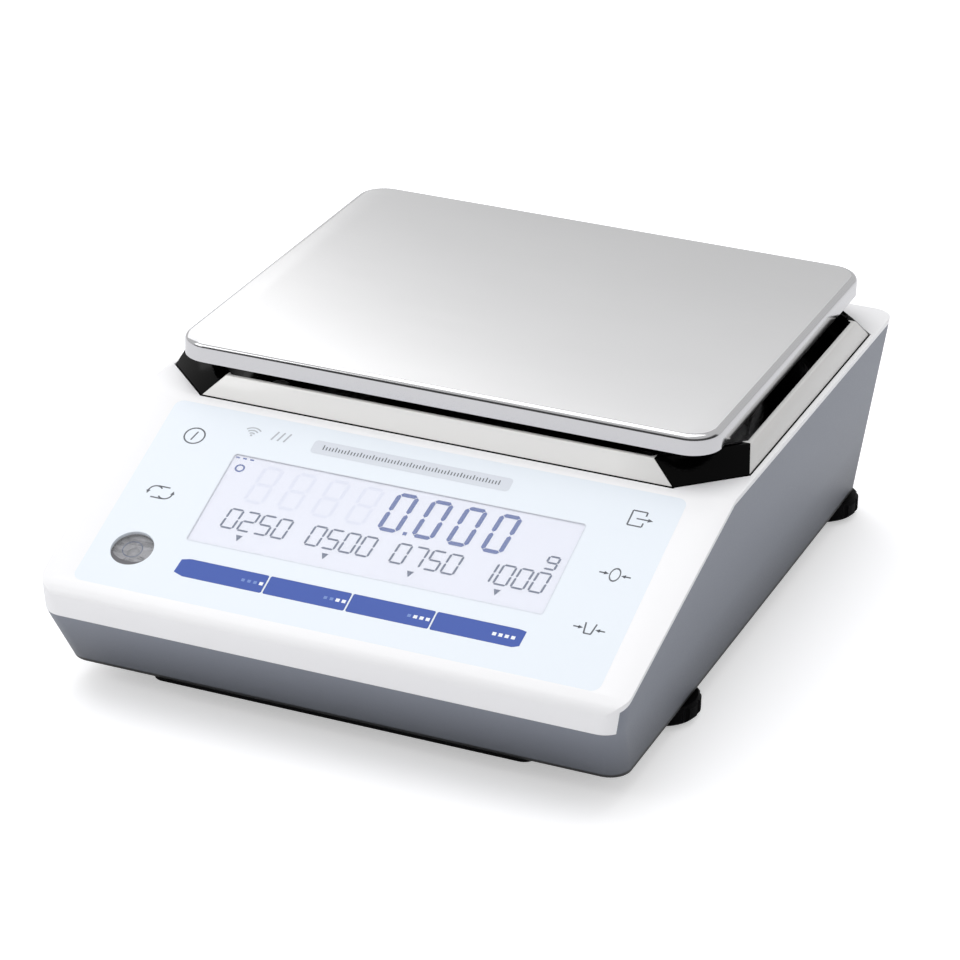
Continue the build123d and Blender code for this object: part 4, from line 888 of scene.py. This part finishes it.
# %% Floor
FLOOR_HALF = 6
FLOOR_LIFT = 0.42
floor_mesh = bmesh.new()
bmesh.ops.create_grid(floor_mesh, x_segments=2, y_segments=2, size=FLOOR_HALF)
floor_data = bpy.data.meshes.new("floor")
floor_mesh.to_mesh(floor_data)
floor_mesh.free()
floor = bpy.data.objects.new("floor", floor_data)
scene.collection.objects.link(floor)
floor_material, tree, shader = start_material("pale_floor")
shader.inputs["Base Color"].default_value = screen_colour(240, 240, 242)
shader.inputs["Roughness"].default_value = 0.9
shader.inputs["Specular IOR Level"].default_value = 0.1
shader.inputs["Emission Color"].default_value = (1, 1, 1, 1)
seen = tree.nodes.new("ShaderNodeLightPath")
lift = arithmetic(tree, "MULTIPLY", seen.outputs["Is Camera Ray"], FLOOR_LIFT)
tree.links.new(lift, shader.inputs["Emission Strength"])
floor_data.materials.append(floor_material)
print("floor ready, metres across:", 2 * FLOOR_HALF)

# %% World
STUDIO_LEVEL = 0.66
BAND_DARKNESS = 0.6
BAND_TO_THE_RIGHT = 0.6
BAND_START = 0.1
BAND_TOP = 0.62
BAND_STEEPNESS = 6


def short_slope(tree, value):
    """Give 0 where the value is below zero, 1 a little above it, and a short slope between."""
    steep = arithmetic(tree, "MULTIPLY", value, BAND_STEEPNESS)
    return arithmetic(tree, "MINIMUM", arithmetic(tree, "MAXIMUM", steep, 0), 1)


world = bpy.data.worlds.new("studio")
scene.world = world
world.use_nodes = True
tree = world.node_tree
background = tree.nodes["Background"]
direction = tree.nodes.new("ShaderNodeTexCoord")
split = tree.nodes.new("ShaderNodeSeparateXYZ")
tree.links.new(direction.outputs["Generated"], split.inputs["Vector"])
seen = tree.nodes.new("ShaderNodeLightPath")
# how far a direction points to the front right, and whether it is low
rightwards = arithmetic(tree, "MULTIPLY", split.outputs["X"], BAND_TO_THE_RIGHT)
towards = arithmetic(tree, "SUBTRACT", rightwards, split.outputs["Y"])
facing = short_slope(tree, arithmetic(tree, "ADD", towards, BAND_START))
near_floor = short_slope(tree, arithmetic(tree, "SUBTRACT", BAND_TOP, split.outputs["Z"]))
band = arithmetic(tree, "MULTIPLY", facing, near_floor)
dark = arithmetic(tree, "MULTIPLY", band, seen.outputs["Is Glossy Ray"])
taken_off = arithmetic(tree, "MULTIPLY", dark, BAND_DARKNESS)
studio_light = arithmetic(tree, "SUBTRACT", STUDIO_LEVEL, taken_off)
strength = tree.nodes.new("ShaderNodeMix")
tree.links.new(seen.outputs["Is Camera Ray"], strength.inputs["Factor"])
tree.links.new(studio_light, strength.inputs["A"])
strength.inputs["B"].default_value = 1.0
tree.links.new(strength.outputs["Result"], background.inputs["Strength"])
background.inputs["Color"].default_value = (1, 1, 1, 1)
print("world level:", STUDIO_LEVEL)

# %% [markdown]
# ### The lamps
# Three large soft lamps light the balance: one overhead, one behind on the left and one in front on the left.
# Large lamps give the wide, soft lights that are seen on the steel, and the shadow falls to the right.

# %% Lamps
def soft_lamp(name, place, aim, size, watts):
    lamp_data = bpy.data.lights.new(name, "AREA")
    lamp_data.shape = "RECTANGLE"
    lamp_data.size = size
    lamp_data.size_y = size
    lamp_data.energy = watts
    lamp = bpy.data.objects.new(name, lamp_data)
    scene.collection.objects.link(lamp)
    lamp.location = place
    lamp.rotation_euler = (Vector(aim) - Vector(place)).to_track_quat("-Z", "Y").to_euler()


soft_lamp("overhead", place=(-0.2, 0.1, 1.5), aim=(0, 0, 0.05), size=1.4, watts=8.6)
soft_lamp("back_left", place=(-0.9, 0.7, 0.9), aim=(0, 0.03, 0.08), size=1.1, watts=3.2)
soft_lamp("front_left", place=(-1.1, -1.0, 0.9), aim=(0, 0, 0.05), size=0.8, watts=3.5)
print("lamps:", len(bpy.data.lights))
